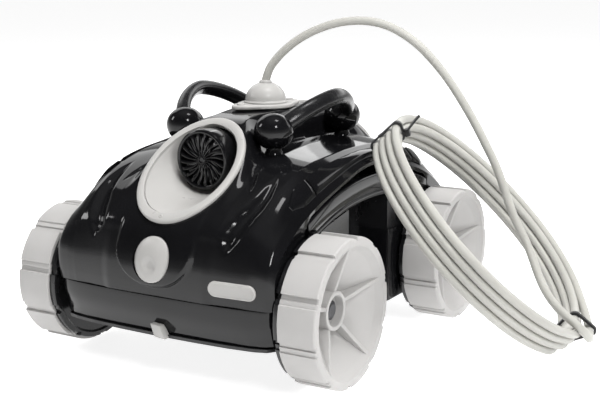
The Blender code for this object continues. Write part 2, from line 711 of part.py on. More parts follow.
# ---------------------------------------------------------------- pump
def build_pump():
    lengthways = Matrix.Rotation(math.radians(90), 4, "X")
    centre = Matrix.Translation((0, 0, PUMP_Z))
    rotor = add_empty("axis_pump", (0, 0, PUMP_Z))
    bm = turn_bm(turned([(0.0022, -0.1125), (0.0030, -0.1115), (0.0030, 0.1115), (0.0022, 0.1125)], 12), lengthways)
    add_object("pump_shaft", bm, "steel", smooth=40, parent=rotor)

    can = [(0.0270, -0.0480), (0.0270, 0.0480), (0.0090, 0.0500), (0.0090, 0.0560), (0.0036, 0.0560),
           (0.0036, -0.0560), (0.0090, -0.0560), (0.0090, -0.0500)]
    bm = turn_bm(turned(can, 24, bore=True), centre @ lengthways)
    add_object("motor_can", bm, "dark_grey", smooth=40)
    for end in (-1, 1):
        build_propeller(end, rotor)


def build_propeller(end, rotor):
    """Four pitched blades on a hub."""
    hub = [(0.0060, 0.0970), (0.0060, 0.1075), (0.0045, 0.1095), (0.0034, 0.1095), (0.0034, 0.0970)]
    lengthways = Matrix.Rotation(math.radians(90), 4, "X")
    flip = Matrix.Rotation(math.pi, 4, "X") if end > 0 else Matrix.Identity(4)
    bm = turn_bm(turned(hub, 16, bore=True), lengthways @ flip)
    propeller = add_object("propeller_" + end_name(end), bm, "dark_grey", smooth=40, parent=rotor)
    blades = bmesh.new()
    for i in range(4):
        rows = []
        for radius, twist in ((0.0048, 52), (0.0150, 38), (0.0250, 24)):
            half = 0.0040 if radius < 0.01 else 0.0085
            pitch = math.radians(twist)
            along = Vector((math.cos(pitch), math.sin(pitch), 0))
            thick = Vector((-math.sin(pitch), math.cos(pitch), 0)) * 0.0008
            base = Vector((0, end * 0.1025, radius))
            corners = [base + along * half - thick, base + along * half + thick, base - along * half + thick,
                       base - along * half - thick]
            turn = Matrix.Rotation(math.pi / 2 * i, 3, "Y")
            for corner in corners:
                corner.y = end * min(max(abs(corner.y), 0.0975), 0.1072)
            rows.append([blades.verts.new(turn @ corner) for corner in corners])
        blades.faces.new(rows[0])
        blades.faces.new(rows[2])
        for low, high in zip(rows, rows[1:]):
            for j in range(4):
                k = (j + 1) % 4
                blades.faces.new((low[j], low[k], high[k], high[j]))
    blade_object = hide_cutter(add_object("guide_blades_" + end_name(end), blades, "dark_grey", parent=rotor))
    boolean(propeller, blade_object, "UNION")


def build_pump_deck():
    """Deck across the chassis with two saddles under the motor can."""
    deck = add_object("pump_deck", box((0.2280, 0.1160, 0.0030), (0, 0, 0.1507)), "matte_black")
    for end in (-1, 1):
        saddle = box((0.0500, 0.0120, 0.0280), (0, end * 0.0280, 0.1650))
        union = hide_cutter(add_object("guide_saddle_" + end_name(end), saddle, "matte_black"))
        boolean(deck, union, "UNION")
    relief = turned([(0.0275, -0.060), (0.0275, 0.060)], 28)
    turn_bm(relief, Matrix.Translation((0, 0, PUMP_Z)) @ Matrix.Rotation(math.radians(90), 4, "X"))
    boolean(deck, hide_cutter(add_object("cutter_saddles", relief, "matte_black")), "DIFFERENCE")


# ---------------------------------------------------------------- top fittings
def build_gland():
    """Oval flange, its screws, and the dome that the cable comes out of."""
    turn = Matrix.Rotation(FLANGE_TURN, 4, "Z")
    screw_y = 0.0330
    rings = []
    for shrink, z in ((0.0, FLANGE_Z), (0.0, FLANGE_Z + FLANGE_T - 0.001), (0.001, FLANGE_Z + FLANGE_T)):
        ring = []
        for i in range(32):
            a = 2 * math.pi * i / 32
            swell = 1.0 - 0.16 * math.sin(2 * a) ** 2
            ring.append(turn @ Vector(((0.0285 - shrink) * swell * math.cos(a),
                                       (0.0430 - shrink) * swell * math.sin(a), z)))
        rings.append(ring)
    add_object("gland_flange", loft(bmesh.new(), rings), "light_grey", smooth=40)
    base = FLANGE_Z + FLANGE_T + GAP
    top = base + DOME_R
    profile = [(DOME_R, base), (DOME_R, base + 0.0012)]
    for i in range(1, 6):
        a = math.radians(90) * i / 6
        profile.append((DOME_R * math.cos(a), base + 0.0012 + (DOME_R - 0.0012) * math.sin(a)))
    profile.append((CORD_D / 2 + 0.0002, top - 0.0004))
    profile.append((CORD_D / 2 + 0.0001, top))
    add_object("gland_dome", turned(profile, 22), "light_grey", smooth=50)
    for end in (-1, 1):
        place = turn @ Vector((0, end * screw_y, base))
        head = [(0.0040, 0.0), (0.0040, 0.0010), (0.0028, 0.0022), (0.0010, 0.0024)]
        bm = turn_bm(turned(head, 14), Matrix.Translation(place))
        add_object("gland_screw_" + end_name(end), bm, "dark_grey", smooth=40)
    return top


def bow_point(side, t):
    c, s = math.cos(t), math.sin(t)
    y = BOW_HALF * math.copysign(abs(c) ** (2 / BOW_POWER), c)
    u = BOW_RISE * abs(s) ** (2 / BOW_POWER)
    return Vector((side * (BOW_X + u * math.sin(BOW_LEAN)), y, BOW_Z + u * math.cos(BOW_LEAN)))


def knob_profile(grow):
    return [(0.0062 + grow, -0.0140 - grow), (0.0062 + grow, -0.0045 - grow), (KNOB_R - 0.0010 + grow, -0.0045 - grow),
            (KNOB_R + grow, -0.0030), (KNOB_R - 0.0004 + grow, 0.0025), (KNOB_R - 0.0034 + grow, 0.0085),
            (KNOB_R - 0.0080 + grow, 0.0120 + grow), (0.0020, 0.0132 + grow)]


def build_handle(side):
    """Bow that leans outward between two knobs on the shoulders of the bonnet."""
    wide, tall = 0.0082, 0.0060
    flat = Vector((side * math.cos(BOW_LEAN), 0, -math.sin(BOW_LEAN)))
    steps = 20
    rings = []
    for i in range(steps + 1):
        t = lerp(BOW_START, math.pi - BOW_START, i / steps)
        here = bow_point(side, t)
        ahead = (bow_point(side, t + 0.01) - bow_point(side, t - 0.01)).normalized()
        across = flat
        upward = ahead.cross(across).normalized()
        ring = []
        for x, y in circle(1.0, 10, math.radians(18)):
            cx = math.copysign(abs(x) ** 0.75, x)
            cy = math.copysign(abs(y) ** 0.75, y)
            ring.append(here + across * wide * cx + upward * tall * cy)
        rings.append(ring)
    handle = add_object("handle_" + side_name(side), loft(bmesh.new(), rings), "matte_black", smooth=50)
    for end in (-1, 1):
        place = Matrix.Translation((side * KNOB_X, end * KNOB_Y, KNOB_Z))
        label = f"{end_name(end)}_{side_name(side)}"
        clear = turn_bm(turned(knob_profile(0.0004), 16), place)
        cutter = hide_cutter(add_object("cutter_knob_" + label, clear, "matte_black"))
        boolean(handle, cutter, "DIFFERENCE")
        knob = turn_bm(turned(knob_profile(0.0), 16), place)
        add_object("handle_knob_" + label, knob, "gloss_black", smooth=50)


# ---------------------------------------------------------------- cable
def coil_frame():
    normal = Vector((math.sin(COIL_TILT) * math.cos(COIL_TURN), math.sin(COIL_TILT) * math.sin(COIL_TURN),
                     math.cos(COIL_TILT)))
    level = Vector((-math.sin(COIL_TURN), math.cos(COIL_TURN), 0))
    return normal, level, normal.cross(level)


def coil_point(angle, radius, axial):
    normal, level, slope = coil_frame()
    return COIL_CENTRE + (level * math.cos(angle) + slope * math.sin(angle)) * radius + normal * axial


def coil_section(grow):
    r, w = COIL_HALF_T + grow, COIL_HALF_W + grow
    cut = 0.0042 + grow * 0.4
    narrow = w - 0.0080
    return [(r, -w + cut), (r, w - cut), (r - cut, w), (0.0, w), (-r, narrow), (-r, -narrow), (0.0, -w),
            (r - cut, -w)]


def build_coil():
    """Hank of cable as one turned ring, with its two ties."""
    rings = []
    for i in range(40):
        a = 2 * math.pi * i / 40
        rings.append([coil_point(a, COIL_R + r, w) for r, w in coil_section(0.0)])
    add_object("cord_coil", loft(bmesh.new(), rings, loop=True), "cable_grey", smooth=40)
    for name, degrees in (("cord_tie_top", 89), ("cord_tie_bottom", -82)):
        angle = math.radians(degrees)
        spread = 0.0025 / COIL_R
        bm = bmesh.new()
        rows = []
        for grow, offset in ((0.0006, -spread), (0.0006, spread), (0.0021, spread), (0.0021, -spread)):
            rows.append([bm.verts.new(coil_point(angle + offset, COIL_R + r, w)) for r, w in coil_section(grow)])
        for low, high in zip(rows, rows[1:] + rows[:1]):
            for i in range(8):
                j = (i + 1) % 8
                bm.faces.new((low[i], low[j], high[j], high[i]))
        add_object(name, bm, "matte_black")


def build_connector():
    """Moulded plug at the end of the cable, inside the front arc of the hank."""
    angle = math.radians(-165)
    normal, level, slope = coil_frame()
    along = (level * -math.sin(angle) + slope * math.cos(angle)).normalized()
    place = coil_point(angle, 0.1115, -0.0040)
    profile = [(0.0050, -0.0310), (0.0064, -0.0120), (0.0078, -0.0110), (0.0078, 0.0180), (0.0070, 0.0190),
               (0.0070, 0.0310)]
    rotation = Vector((0, 0, 1)).rotation_difference(along).to_matrix().to_4x4()
    bm = turn_bm(turned(profile, 16), Matrix.Translation(place) @ rotation)
    add_object("cord_connector", bm, "matte_black", smooth=40)


def smooth_route(points, spacing):
    """Points at even steps along a Catmull-Rom curve through the route."""
    fine = []
    for i in range(len(points) - 1):
        p0 = Vector(points[max(i - 1, 0)])
        p1 = Vector(points[i])
        p2 = Vector(points[i + 1])
        p3 = Vector(points[min(i + 2, len(points) - 1)])
        for step in range(12):
            t = step / 12
            fine.append(0.5 * ((2 * p1) + (p2 - p0) * t + (2 * p0 - 5 * p1 + 4 * p2 - p3) * t * t
                               + (3 * p1 - p0 - 3 * p2 + p3) * t ** 3))
    fine.append(Vector(points[-1]))
    lengths = [0.0]
    for a, b in zip(fine, fine[1:]):
        lengths.append(lengths[-1] + (b - a).length)
    count = max(int(round(lengths[-1] / spacing)), 2)
    even = []
    j = 0
    for i in range(count + 1):
        target = lengths[-1] * i / count
        while j < len(lengths) - 2 and lengths[j + 1] < target:
            j += 1
        share = (target - lengths[j]) / max(lengths[j + 1] - lengths[j], 1e-9)
        even.append(fine[j].lerp(fine[j + 1], min(share, 1.0)))
    return even


def build_cord():
    """Free stretch of the cable from the dome over its arch to the hank."""
    points = smooth_route(CORD_ROUTE, 0.0180)
    points.insert(1, points[0] + Vector((0, 0, 0.0045)))
    curve = bpy.data.curves.new("cord_free", "CURVE")
    curve.dimensions = "3D"
    curve.bevel_depth = CORD_D / 2
    curve.bevel_resolution = 2
    curve.use_fill_caps = True
    curve.resolution_u = 1
    curve.render_resolution_u = 0
    spline = curve.splines.new("POLY")
    spline.points.add(len(points) - 1)
    for target, point in zip(spline.points, points):
        target.co = (*point, 1.0)
    cord = bpy.data.objects.new("cord_free", curve)
    bpy.context.collection.objects.link(cord)
    curve.materials.append(make_material("cord_free", "cable_grey"))


# ---------------------------------------------------------------- assembly
def main():
    for obj in list(bpy.data.objects):
        bpy.data.objects.remove(obj)
    build_upper_shell()
    build_lower_shell()
    build_chassis()
    build_base_plate()
    build_flaps()
    build_filter()
    build_floats()
    build_fenders()
    build_trims()
    build_badge()
    build_release_tab()
    for end in (-1, 1):
        build_nozzle(end)
        build_guard(end)
        build_latch(end)
        for side in (-1, 1):
            build_wheel(end, side)
    build_pump()
    build_pump_deck()
    build_gland()
    for side in (-1, 1):
        build_handle(side)
    build_cord()
    build_coil()
    build_connector()


main()
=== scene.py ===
"""Looks of the pool cleaner: fine meshes, materials, its cable, a plain studio and the camera.

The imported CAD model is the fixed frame.  Metres, +Z up, the front faces -Y, the cable lies on +X.
"""
from math import copysign, cos, degrees as to_degrees, hypot, pi, radians, sin

import bmesh
import bpy
import numpy as np
from mathutils import Matrix, Vector


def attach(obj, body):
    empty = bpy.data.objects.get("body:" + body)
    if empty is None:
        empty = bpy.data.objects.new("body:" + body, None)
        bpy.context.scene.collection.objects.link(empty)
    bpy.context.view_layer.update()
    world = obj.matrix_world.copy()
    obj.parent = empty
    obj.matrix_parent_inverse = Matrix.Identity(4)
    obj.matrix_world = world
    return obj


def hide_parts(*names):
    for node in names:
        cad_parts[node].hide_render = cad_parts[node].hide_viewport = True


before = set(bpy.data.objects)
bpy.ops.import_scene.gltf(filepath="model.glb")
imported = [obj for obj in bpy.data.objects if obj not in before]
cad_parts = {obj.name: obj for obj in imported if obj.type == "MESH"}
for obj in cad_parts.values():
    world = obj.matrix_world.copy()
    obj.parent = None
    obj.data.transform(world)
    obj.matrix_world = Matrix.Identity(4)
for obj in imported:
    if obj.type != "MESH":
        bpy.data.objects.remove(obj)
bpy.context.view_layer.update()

# ---------------------------------------------------------------- driving dimensions, as in the CAD model
WHEEL_R = 0.0700
TREAD_GROOVE = 0.0027
WHEEL_OUT = 0.1685                # outer and inner face of a wheel
WHEEL_IN = 0.1311
WHEEL_Y = 0.1253
LUGS = 10
RIBS = 5
DISC_OUT = 0.1307                 # outer and inner face of the disc behind a wheel
DISC_IN = 0.1248
SHELL_T = 0.0028
PART_Z = 0.0800                   # height of the parting line
GAP = 0.0003                      # between pieces that touch
SIDE_X = 0.1240
BONNET_X = 0.0640                 # where the bonnet has come down to the crest
TRIM_IN = 0.1075                  # inner line of the shoulder trim, and its outer one
TRIM_OUT = 0.1180
LOWER_X = 0.1218
POCKET_X = 0.0860
POCKET_Y = 0.0420
PUMP_Z = 0.1947
NOZZLE_Y = 0.1331
NOZZLE_Z = 0.1886
NOZZLE_SLOPE = radians(38.6)
RIM_LONG = 0.0658
RIM_WIDE = 0.0508
MOUTH_LONG = 0.0560
MOUTH_WIDE = 0.0440
GUARD_R = 0.0293
GUARD_Y = 0.1172
LATCH_Y = 0.1972
LATCH_Z = 0.1168
LATCH_TILT = radians(74.5)
LATCH_HALF = (0.0200, 0.0214)     # half width and height of a latch button
BIB_HALF = 0.0450
BIB_Z = 0.1260                    # the bib under a latch is rounded below this height
BIB_DEEP = 0.0385
BADGE_AT = (0.0845, 0.0965)       # x and z of the badge, then its half length and height
BADGE_HALF = (0.0240, 0.0072)
FENDER_Y = 0.1275
FENDER_Z = 0.1725                 # top of the fender band at its middle; it drops by FENDER_DROP at its ends
FENDER_DROP = 0.0305
FLOAT_SIZE = (0.2190, 0.0370, 0.0550)
FLOAT_Y = 0.1060
FLOAT_Z = 0.0900
BAG_HALF = (0.0770, 0.0740)
BAG_LOW = 0.0460
BAG_HIGH = 0.1435
BAG_T = 0.0012
KNOB_X = 0.0520
KNOB_Y = 0.0690
KNOB_Z = 0.2165
KNOB_R = 0.0192
BOW_X = 0.0475
BOW_Z = 0.2128
BOW_HALF = 0.0685
BOW_RISE = 0.0504
BOW_LEAN = radians(45)
BOW_POWER = 1.66
BOW_WIDE = 0.0083
BOW_TALL = 0.0064
DOME_R = 0.0210
FLANGE_Z = 0.2337
FLANGE_T = 0.0038
FLANGE_TURN = radians(-17)
FLANGE_HALF = (0.0285, 0.0430)
SCREW_Y = 0.0330
CORD_D = 0.0085
COIL_CENTRE = Vector((0.2188, 0.0606, 0.1145))
COIL_TILT = radians(45.84)
COIL_TURN = radians(11.4)
COIL_R = 0.1334
PLUG_ANGLE = -165                 # middle of the plug, in degrees round the coil
PLUG_R = 0.1115
PLUG_AXIAL = -0.0040
PLUG_HALF = 0.0310
PLUG_TURNS = 7                    # turns after which the cable reaches the plug
TIE_WIDTH = 0.0064
TIE_THICK = 0.0009                # half the thickness of a tie's free tail
TIE_TOP_AT = 104                  # degrees round the coil
TIE_BOTTOM_AT = -84
# Ends of the ties: the place in the bundle where one starts, as (axial, radial), and its run from there.
TOP_TAILS = [((0.0160, -0.0060), [(0, 0, 0), (0.003, 0.002, 0.005), (0.008, 0.006, 0.013),
                                  (0.011, 0.008, 0.017)]),
             ((-0.0060, 0.0098), [(0, 0, 0), (0.002, 0.001, 0.0015), (0.005, 0.002, 0.004),
                                  (0.007, 0.003, 0.006)])]
BOTTOM_TAILS = [((-0.0060, 0.0086), [(0, 0, 0.001), (-0.004, -0.006, -0.001), (-0.010, -0.012, -0.0005),
                                     (-0.016, -0.018, 0.001)])]

# Cross-section lines of the upper shell: front profiles of (y, z) from the parting plane to the crown.
CENTRE_LINE = [(-.1945, .0803), (-.2010, .092), (-.2020, .104), (-.1990, .118), (-.1915, .134),
               (-.1822, .1472), (-.1600, .1665), (-.1330, .1880), (-.1080, .2080), (-.0840, .2265),
               (-.0600, .2312), (-.0300, .2326), (0, .2330)]
FACE_LINE = [(-.1945, .0803), (-.1960, .092), (-.1960, .104), (-.1940, .117), (-.1880, .134),
             (-.1815, .1472), (-.1600, .1660), (-.1330, .1875), (-.1080, .2075), (-.0840, .2260),
             (-.0600, .2308), (-.0300, .2322), (0, .2326)]
BONNET_LINE = [(-.1928, .0803), (-.1945, .092), (-.1945, .104), (-.1925, .117), (-.1872, .134),
               (-.1810, .147), (-.1610, .1645), (-.1330, .1800), (-.1080, .1900), (-.0840, .1970),
               (-.0580, .2000), (-.0290, .2018), (0, .2024)]
CREST_LINE = [(-.1905, .0803), (-.1925, .092), (-.1928, .104), (-.1905, .117), (-.1840, .133),
              (-.1755, .146), (-.1560, .1630), (-.1330, .1770), (-.1100, .1860), (-.0850, .1920),
              (-.0580, .1950), (-.0290, .1962), (0, .1966)]
SHOULDER_LINE = [(-.1895, .0803), (-.1915, .092), (-.1920, .104), (-.1900, .117), (-.1830, .131),
                 (-.1735, .143), (-.1540, .1590), (-.1325, .1720), (-.1090, .1805), (-.0840, .1860),
                 (-.0570, .1893), (-.0290, .1910), (0, .1920)]
STRIP_LINE = [(-.1880, .0803), (-.1900, .092), (-.1905, .104), (-.1880, .117), (-.1800, .129),
              (-.1700, .139), (-.1500, .1515), (-.1305, .1610), (-.1080, .1690), (-.0835, .1755),
              (-.0565, .1815), (-.0285, .1870), (0, .1895)]
SIDE_LINE = [(-.1840, .0803), (-.1860, .092), (-.1860, .104), (-.1825, .116), (-.1745, .126),
             (-.1640, .135), (-.1460, .1460), (-.1280, .1545), (-.1070, .1625), (-.0825, .1695),
             (-.0560, .1765), (-.0285, .1830), (0, .1860)]
EDGE_LINE = [(-.1800, .0803), (-.1790, .0803), (-.1770, .0803), (-.1720, .0803), (-.1630, .0803),
             (-.1520, .0803), (-.1410, .1180), (-.1268, .1495), (-.1065, .1585), (-.0825, .1660),
             (-.0560, .1730), (-.0285, .1795), (0, .1825)]
STATIONS = [(BONNET_X, BONNET_LINE), (0.097, CREST_LINE), (TRIM_IN, SHOULDER_LINE), (TRIM_OUT, STRIP_LINE),
            (SIDE_X, SIDE_LINE)]
# Where the bonnet's flat top ends and where its flank has come down, for each point of a profile.
FLANK = [(.052, .064)] * 7
FLANK += [(.050, .064), (.042, .062), (.026, .050), (.020, .043), (.024, .047), (.026, .050)]
CROWN = 12                        # profile number of the crown

# Hollows pressed into the flank, as (profile number, inner edge, outer edge); their depths are in metres.
LONG_HOLLOW = [(3.45, .0745, .0755), (3.85, .0670, .0810), (4.45, .0615, .0870), (5.05, .0615, .0920),
               (5.60, .0665, .0950), (6.10, .0735, .0965), (6.60, .0775, .0960), (7.25, .0800, .0920),
               (8.00, .0825, .0840)]
SHORT_HOLLOW = [(6.45, .0725, .0740), (6.90, .0645, .0715), (7.30, .0600, .0680), (7.80, .0560, .0620),
                (8.45, .0535, .0550)]
LONG_DEPTH = 0.0044
SHORT_DEPTH = 0.0028
HOLLOW_FADE = (0.9, 1.6)          # stretch over which a hollow starts and ends, in profile numbers

# Route of the free cable, from the gland over its arch and down to the coil.
CORD_ROUTE = [
    (0.0000, 0.0000, 0.2592), (0.0010, 0.0003, 0.2655), (0.0046, 0.0015, 0.2737), (0.0148, 0.0047, 0.2865),
    (0.0248, 0.0079, 0.2959), (0.0348, 0.0110, 0.3033), (0.0447, 0.0142, 0.3091), (0.0643, 0.0204, 0.3171),
    (0.0837, 0.0266, 0.3209), (0.1030, 0.0327, 0.3208), (0.1222, 0.0388, 0.3157), (0.1411, 0.0448, 0.3045),
    (0.1545, 0.0491, 0.2929), (0.1744, 0.0554, 0.2695), (0.1899, 0.0603, 0.2460), (0.2036, 0.0646, 0.2224),
    (0.2155, 0.0684, 0.1987), (0.2268, 0.0720, 0.1748), (0.2425, 0.0770, 0.1300), (0.2585, 0.0790, 0.0990),
]
# How it runs over the coil and into it: (degrees round the coil, radius, place along the coil's axis).
CORD_ENTRY = [(-93.7, 0.0724, 0.0100), (-104.9, 0.0933, 0.0102), (-108.8, 0.1133, 0.0132),
              (-109.0, 0.1284, 0.0172), (-105.6, 0.1396, 0.0172), (-100.0, 0.1452, 0.0128),
              (-93.4, 0.1466, 0.0084), (-86.1, 0.1454, 0.0072), (-78.0, 0.1419, 0.0080)]
ENTRY_END = -64
# The strands' places in the bundle; each turn the cable moves on to the next one, as (axial, radial).
STRANDS = [(0.0129, 0.0043), (0.0043, 0.0043), (-0.0043, 0.0043), (-0.0129, 0.0043), (-0.0086, -0.0032),
           (0.0000, -0.0032), (0.0086, -0.0032)]
MOVE_START = -118
MOVE_END = -78
MOVE_PUSH = 0.0055                # how far it swings out on its way to another layer, and to a neighbour
MOVE_LIFT = 0.0006
# Where the coil is drawn inward round its low side: degrees of the middle, reach, and the two shifts.
DRAW_MIDDLE = -88
DRAW_REACH = 75
DRAW_IN = 0.0035
DRAW_DOWN = 0.0035
# How it leaves for its plug: (degrees from the plug's middle, radius, axial).
PLUG_LEAD = [(-46, 0.1300, 0.0086), (-40, 0.1285, 0.0084), (-34, 0.1256, 0.0070), (-28, 0.1226, 0.0036),
             (-22, 0.1200, -0.0004)]

CAMERA_PLACE = (0.6360, -1.0105, 0.3826)
CAMERA_BACK = Vector((0.49696, -0.84294, 0.20614)).normalized()
CAMERA_AZIMUTH = radians(30.522)
CAMERA_ROLL = radians(-0.319)
CAMERA_LENS = 69.75               # on a sensor 36 mm wide
# Lights: name, place, the point they look at, width and height, power, and whether gloss mirrors them.
LIGHTS = [
    ("key_left", (-2.1, -0.9, 1.5), (0, 0, 0.1), (0.50, 0.65), 7, True),
    ("key_right", (1.9, -0.5, 1.8), (0.1, 0, 0.12), (0.9, 0.9), 36, False),
    ("key_top", (0.40, -0.10, 2.4), (0.1, 0, 0.1), (1.0, 1.0), 60, False),
    ("spark_right", (1.5, -1.3, 1.9), (0, 0, 0.1), (0.40, 0.50), 13, True),
    ("spark_top", (0.5, 0.1, 2.3), (0, 0, 0.1), (0.45, 0.45), 5, True),
    ("soft_rear", (0.3, 2.2, 1.25), (0, 0, 0.15), (3.0, 0.9), 17, True),
    ("soft_rear_left", (-1.8, 1.6, 1.6), (0, 0, 0.15), (2.2, 1.5), 13, True),
]
FLOOR_REACH = 12.0
FLOOR_GLOW = 0.85
# Brightness of the surroundings, from straight below to straight above, as (height share, value).
SKY = ((0.0, 1.0), (0.010, 0.85), (0.12, 0.38), (0.34, 0.12), (0.50, 0.05), (0.80, 0.06), (1.0, 0.30))


# ---------------------------------------------------------------- small maths
def clamp(t):
    return min(max(t, 0.0), 1.0)


def ease(t):
    t = clamp(t)
    return t * t * (3 - 2 * t)


def lerp(a, b, t):
    return a + (b - a) * t


def end_name(end):
    return "front" if end < 0 else "rear"


def side_name(side):
    return "right" if side > 0 else "left"


def corner_name(end, side):
    return f"{end_name(end)}_{side_name(side)}"


def angles(count, shift=0.0):
    """Angles at even steps round a circle."""
    return [2 * pi * (i + shift) / count for i in range(count)]


def spun(radius, angle, z):
    return Vector((radius * cos(angle), radius * sin(angle), z))


def spline(points, t, mirror=False):
    """Point at place t along a Catmull-Rom curve through points; mirror reflects the list's end in y."""
    last = len(points) - 1
    i = min(int(t), last - 1)
    f = t - i

    def at(j):
        if j < 0:
            return [2 * a - b for a, b in zip(points[0], points[1])]
        if j <= last:
            return points[j]
        if mirror:
            y, z = points[2 * last - j]
            return (-y, z)
        return [2 * a - b for a, b in zip(points[last], points[last - 1])]

    p0, p1, p2, p3 = at(i - 1), at(i), at(i + 1), at(i + 2)
    return [0.5 * (2 * b + (c - a) * f + (2 * a - 5 * b + 4 * c - d) * f * f
                   + (3 * b - a - 3 * c + d) * f ** 3)
            for a, b, c, d in zip(p0, p1, p2, p3)]


def table(rows, key):
    """Columns of a small table read at key, which is its first column."""
    for low, high in zip(rows, rows[1:]):
        if low[0] <= key <= high[0]:
            share = (key - low[0]) / (high[0] - low[0])
            t = ease(share) * 0.35 + share * 0.65
            return [lerp(a, b, t) for a, b in zip(low[1:], high[1:])]
    return None


# ---------------------------------------------------------------- meshes
def skin(rows, wrap_rows=False, wrap_ring=True, caps=False):
    """Mesh data skinned over rows of equally many points."""
    count = len(rows[0])
    points = [tuple(point) for row in rows for point in row]
    faces = []
    for r in range(len(rows) if wrap_rows else len(rows) - 1):
        s = (r + 1) % len(rows)
        for i in range(count if wrap_ring else count - 1):
            j = (i + 1) % count
            faces.append((r * count + i, r * count + j, s * count + j, s * count + i))
    if caps:
        faces.append(tuple(range(count)))
        faces.append(tuple((len(rows) - 1) * count + i for i in range(count)))
    return points, faces


def make_mesh(name, parts, sharp=35):
    """One mesh from several (points, faces) parts, its faces turned outward and shaded smooth."""
    points, faces = [], []
    for part_points, part_faces in parts:
        base = len(points)
        points += part_points
        faces += [tuple(base + i for i in face) for face in part_faces]
    mesh = bpy.data.meshes.new(name)
    mesh.from_pydata(points, [], faces)
    bm = bmesh.new()
    bm.from_mesh(mesh)
    bmesh.ops.remove_doubles(bm, verts=bm.verts, dist=1e-7)
    bmesh.ops.dissolve_degenerate(bm, edges=bm.edges, dist=1e-7)
    bmesh.ops.recalc_face_normals(bm, faces=bm.faces)
    bm.to_mesh(mesh)
    bm.free()
    mesh.shade_smooth()
    mesh.set_sharp_from_angle(angle=radians(sharp))
    return mesh


def add_object(name, data):
    obj = bpy.data.objects.new(name, data)
    bpy.context.scene.collection.objects.link(obj)
    return obj


def place_piece(name, data, material, stands_for, body="body"):
    """A visible piece: its finish, the CAD nodes it stands for and the body it moves with."""
    obj = add_object(name, data)
    data.materials.clear()
    data.materials.append(material)
    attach(obj, body)
    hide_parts(*stands_for)
    return obj


def mesh_piece(name, parts, sharp, material, stands_for, body="body"):
    """A visible piece made of (points, faces) parts, which stands for one CAD node."""
    return place_piece(name, make_mesh(name, parts, sharp), material, [stands_for], body)


def evaluated_mesh(obj, name, sharp):
    """The mesh of obj with its modifiers applied."""
    depsgraph = bpy.context.evaluated_depsgraph_get()
    mesh = bpy.data.meshes.new_from_object(obj.evaluated_get(depsgraph))
    mesh.name = name
    mesh.shade_smooth()
    mesh.set_sharp_from_angle(angle=radians(sharp))
    return mesh


def thicken(mesh, thickness, sharp=32):
    """A sheet given a wall, away from the side its faces look to."""
    holder = add_object("wall_maker", mesh)
    wall = holder.modifiers.new("Wall", "SOLIDIFY")
    wall.thickness = thickness
    wall.offset = -1.0
    wall.use_even_offset = False
    solid = evaluated_mesh(holder, mesh.name + "_wall", sharp)
    bpy.data.objects.remove(holder)
    return solid


def united(name, mesh, added, sharp):
    """Boolean union of two meshes."""
    holder = add_object("boolean_base", mesh)
    other = add_object("boolean_other", added)
    step = holder.modifiers.new("Boolean", "BOOLEAN")
    step.operation = "UNION"
    step.solver = "EXACT"
    step.object = other
    result = evaluated_mesh(holder, name, sharp)
    bpy.data.objects.remove(holder)
    bpy.data.objects.remove(other)
    return result


def circle(radius, count, start=0.0):
    step = 2 * pi / count
    return [(radius * cos(start + i * step), radius * sin(start + i * step)) for i in range(count)]


def rounded(profile, radius, steps=4, loop=False):
    """Profile of 2-D points with its corners rounded by up to radius."""
    result = []
    count = len(profile)
    for i, corner in enumerate(profile):
        here = Vector(corner)
        if not loop and i in (0, count - 1):
            result.append(tuple(here))
            continue
        back = Vector(profile[i - 1]) - here
        ahead = Vector(profile[(i + 1) % count]) - here
        reach = min(radius, back.length * 0.45, ahead.length * 0.45)
        start = here + back.normalized() * reach
        end = here + ahead.normalized() * reach
        for j in range(steps + 1):
            t = j / steps
            result.append(tuple(start * (1 - t) ** 2 + here * 2 * t * (1 - t) + end * t * t))
    return result


def turned(profile, count, matrix=Matrix.Identity(4), bore=False):
    """Solid of revolution about Z from (radius, z) points, then put in place by matrix."""
    rows = []
    for radius, z in profile:
        rows.append([matrix @ Vector((x, y, z)) for x, y in circle(max(radius, 1e-5), count)])
    return skin(rows, wrap_rows=bore, caps=not bore)


def tube(path, radius, sides):
    """Tube along a list of points; radius may be a list with one value for each point."""
    rows = []
    side = None
    for i, here in enumerate(path):
        ahead = (path[min(i + 1, len(path) - 1)] - path[max(i - 1, 0)]).normalized()
        side = (side - ahead * side.dot(ahead) if rows else ahead.orthogonal()).normalized()
        up = ahead.cross(side)
        size = radius[i] if isinstance(radius, list) else radius
        rows.append([here + side * x + up * y for x, y in circle(size, sides)])
    return skin(rows, caps=True)


def strap(path, widths, wide_way):
    """Flat strap along a path, wide along wide_way."""
    rows = []
    for i, here in enumerate(path):
        ahead = (path[min(i + 1, len(path) - 1)] - path[max(i - 1, 0)]).normalized()
        wide = (wide_way - ahead * wide_way.dot(ahead)).normalized()
        thin = ahead.cross(wide)
        w, t = widths[i], TIE_THICK
        rows.append([here + wide * x + thin * y for x, y in ((w, t), (-w, t), (-w, -t), (w, -t))])
    return skin(rows, caps=True)


# ---------------------------------------------------------------- materials
def feed(tree, target, inputs):
    """Inputs of a shader node: a socket is linked, any other value is set."""
    for key, value in inputs.items():
        if isinstance(value, bpy.types.NodeSocket):
            tree.links.new(value, target.inputs[key])
        else:
            target.inputs[key].default_value = value


def node(tree, kind, inputs, **settings):
    made = tree.nodes.new(kind)
    for key, value in settings.items():
        setattr(made, key, value)
    feed(tree, made, inputs)
    return made


def noise(tree, coordinates, scale, detail, stretch=(1, 1, 1)):
    """Noise over the object's own coordinates; returns its factor socket."""
    mapping = node(tree, "ShaderNodeMapping", {"Scale": stretch, "Vector": coordinates})
    inputs = {"Scale": scale, "Detail": detail, "Vector": mapping.outputs["Vector"]}
    return node(tree, "ShaderNodeTexNoise", inputs).outputs["Fac"]


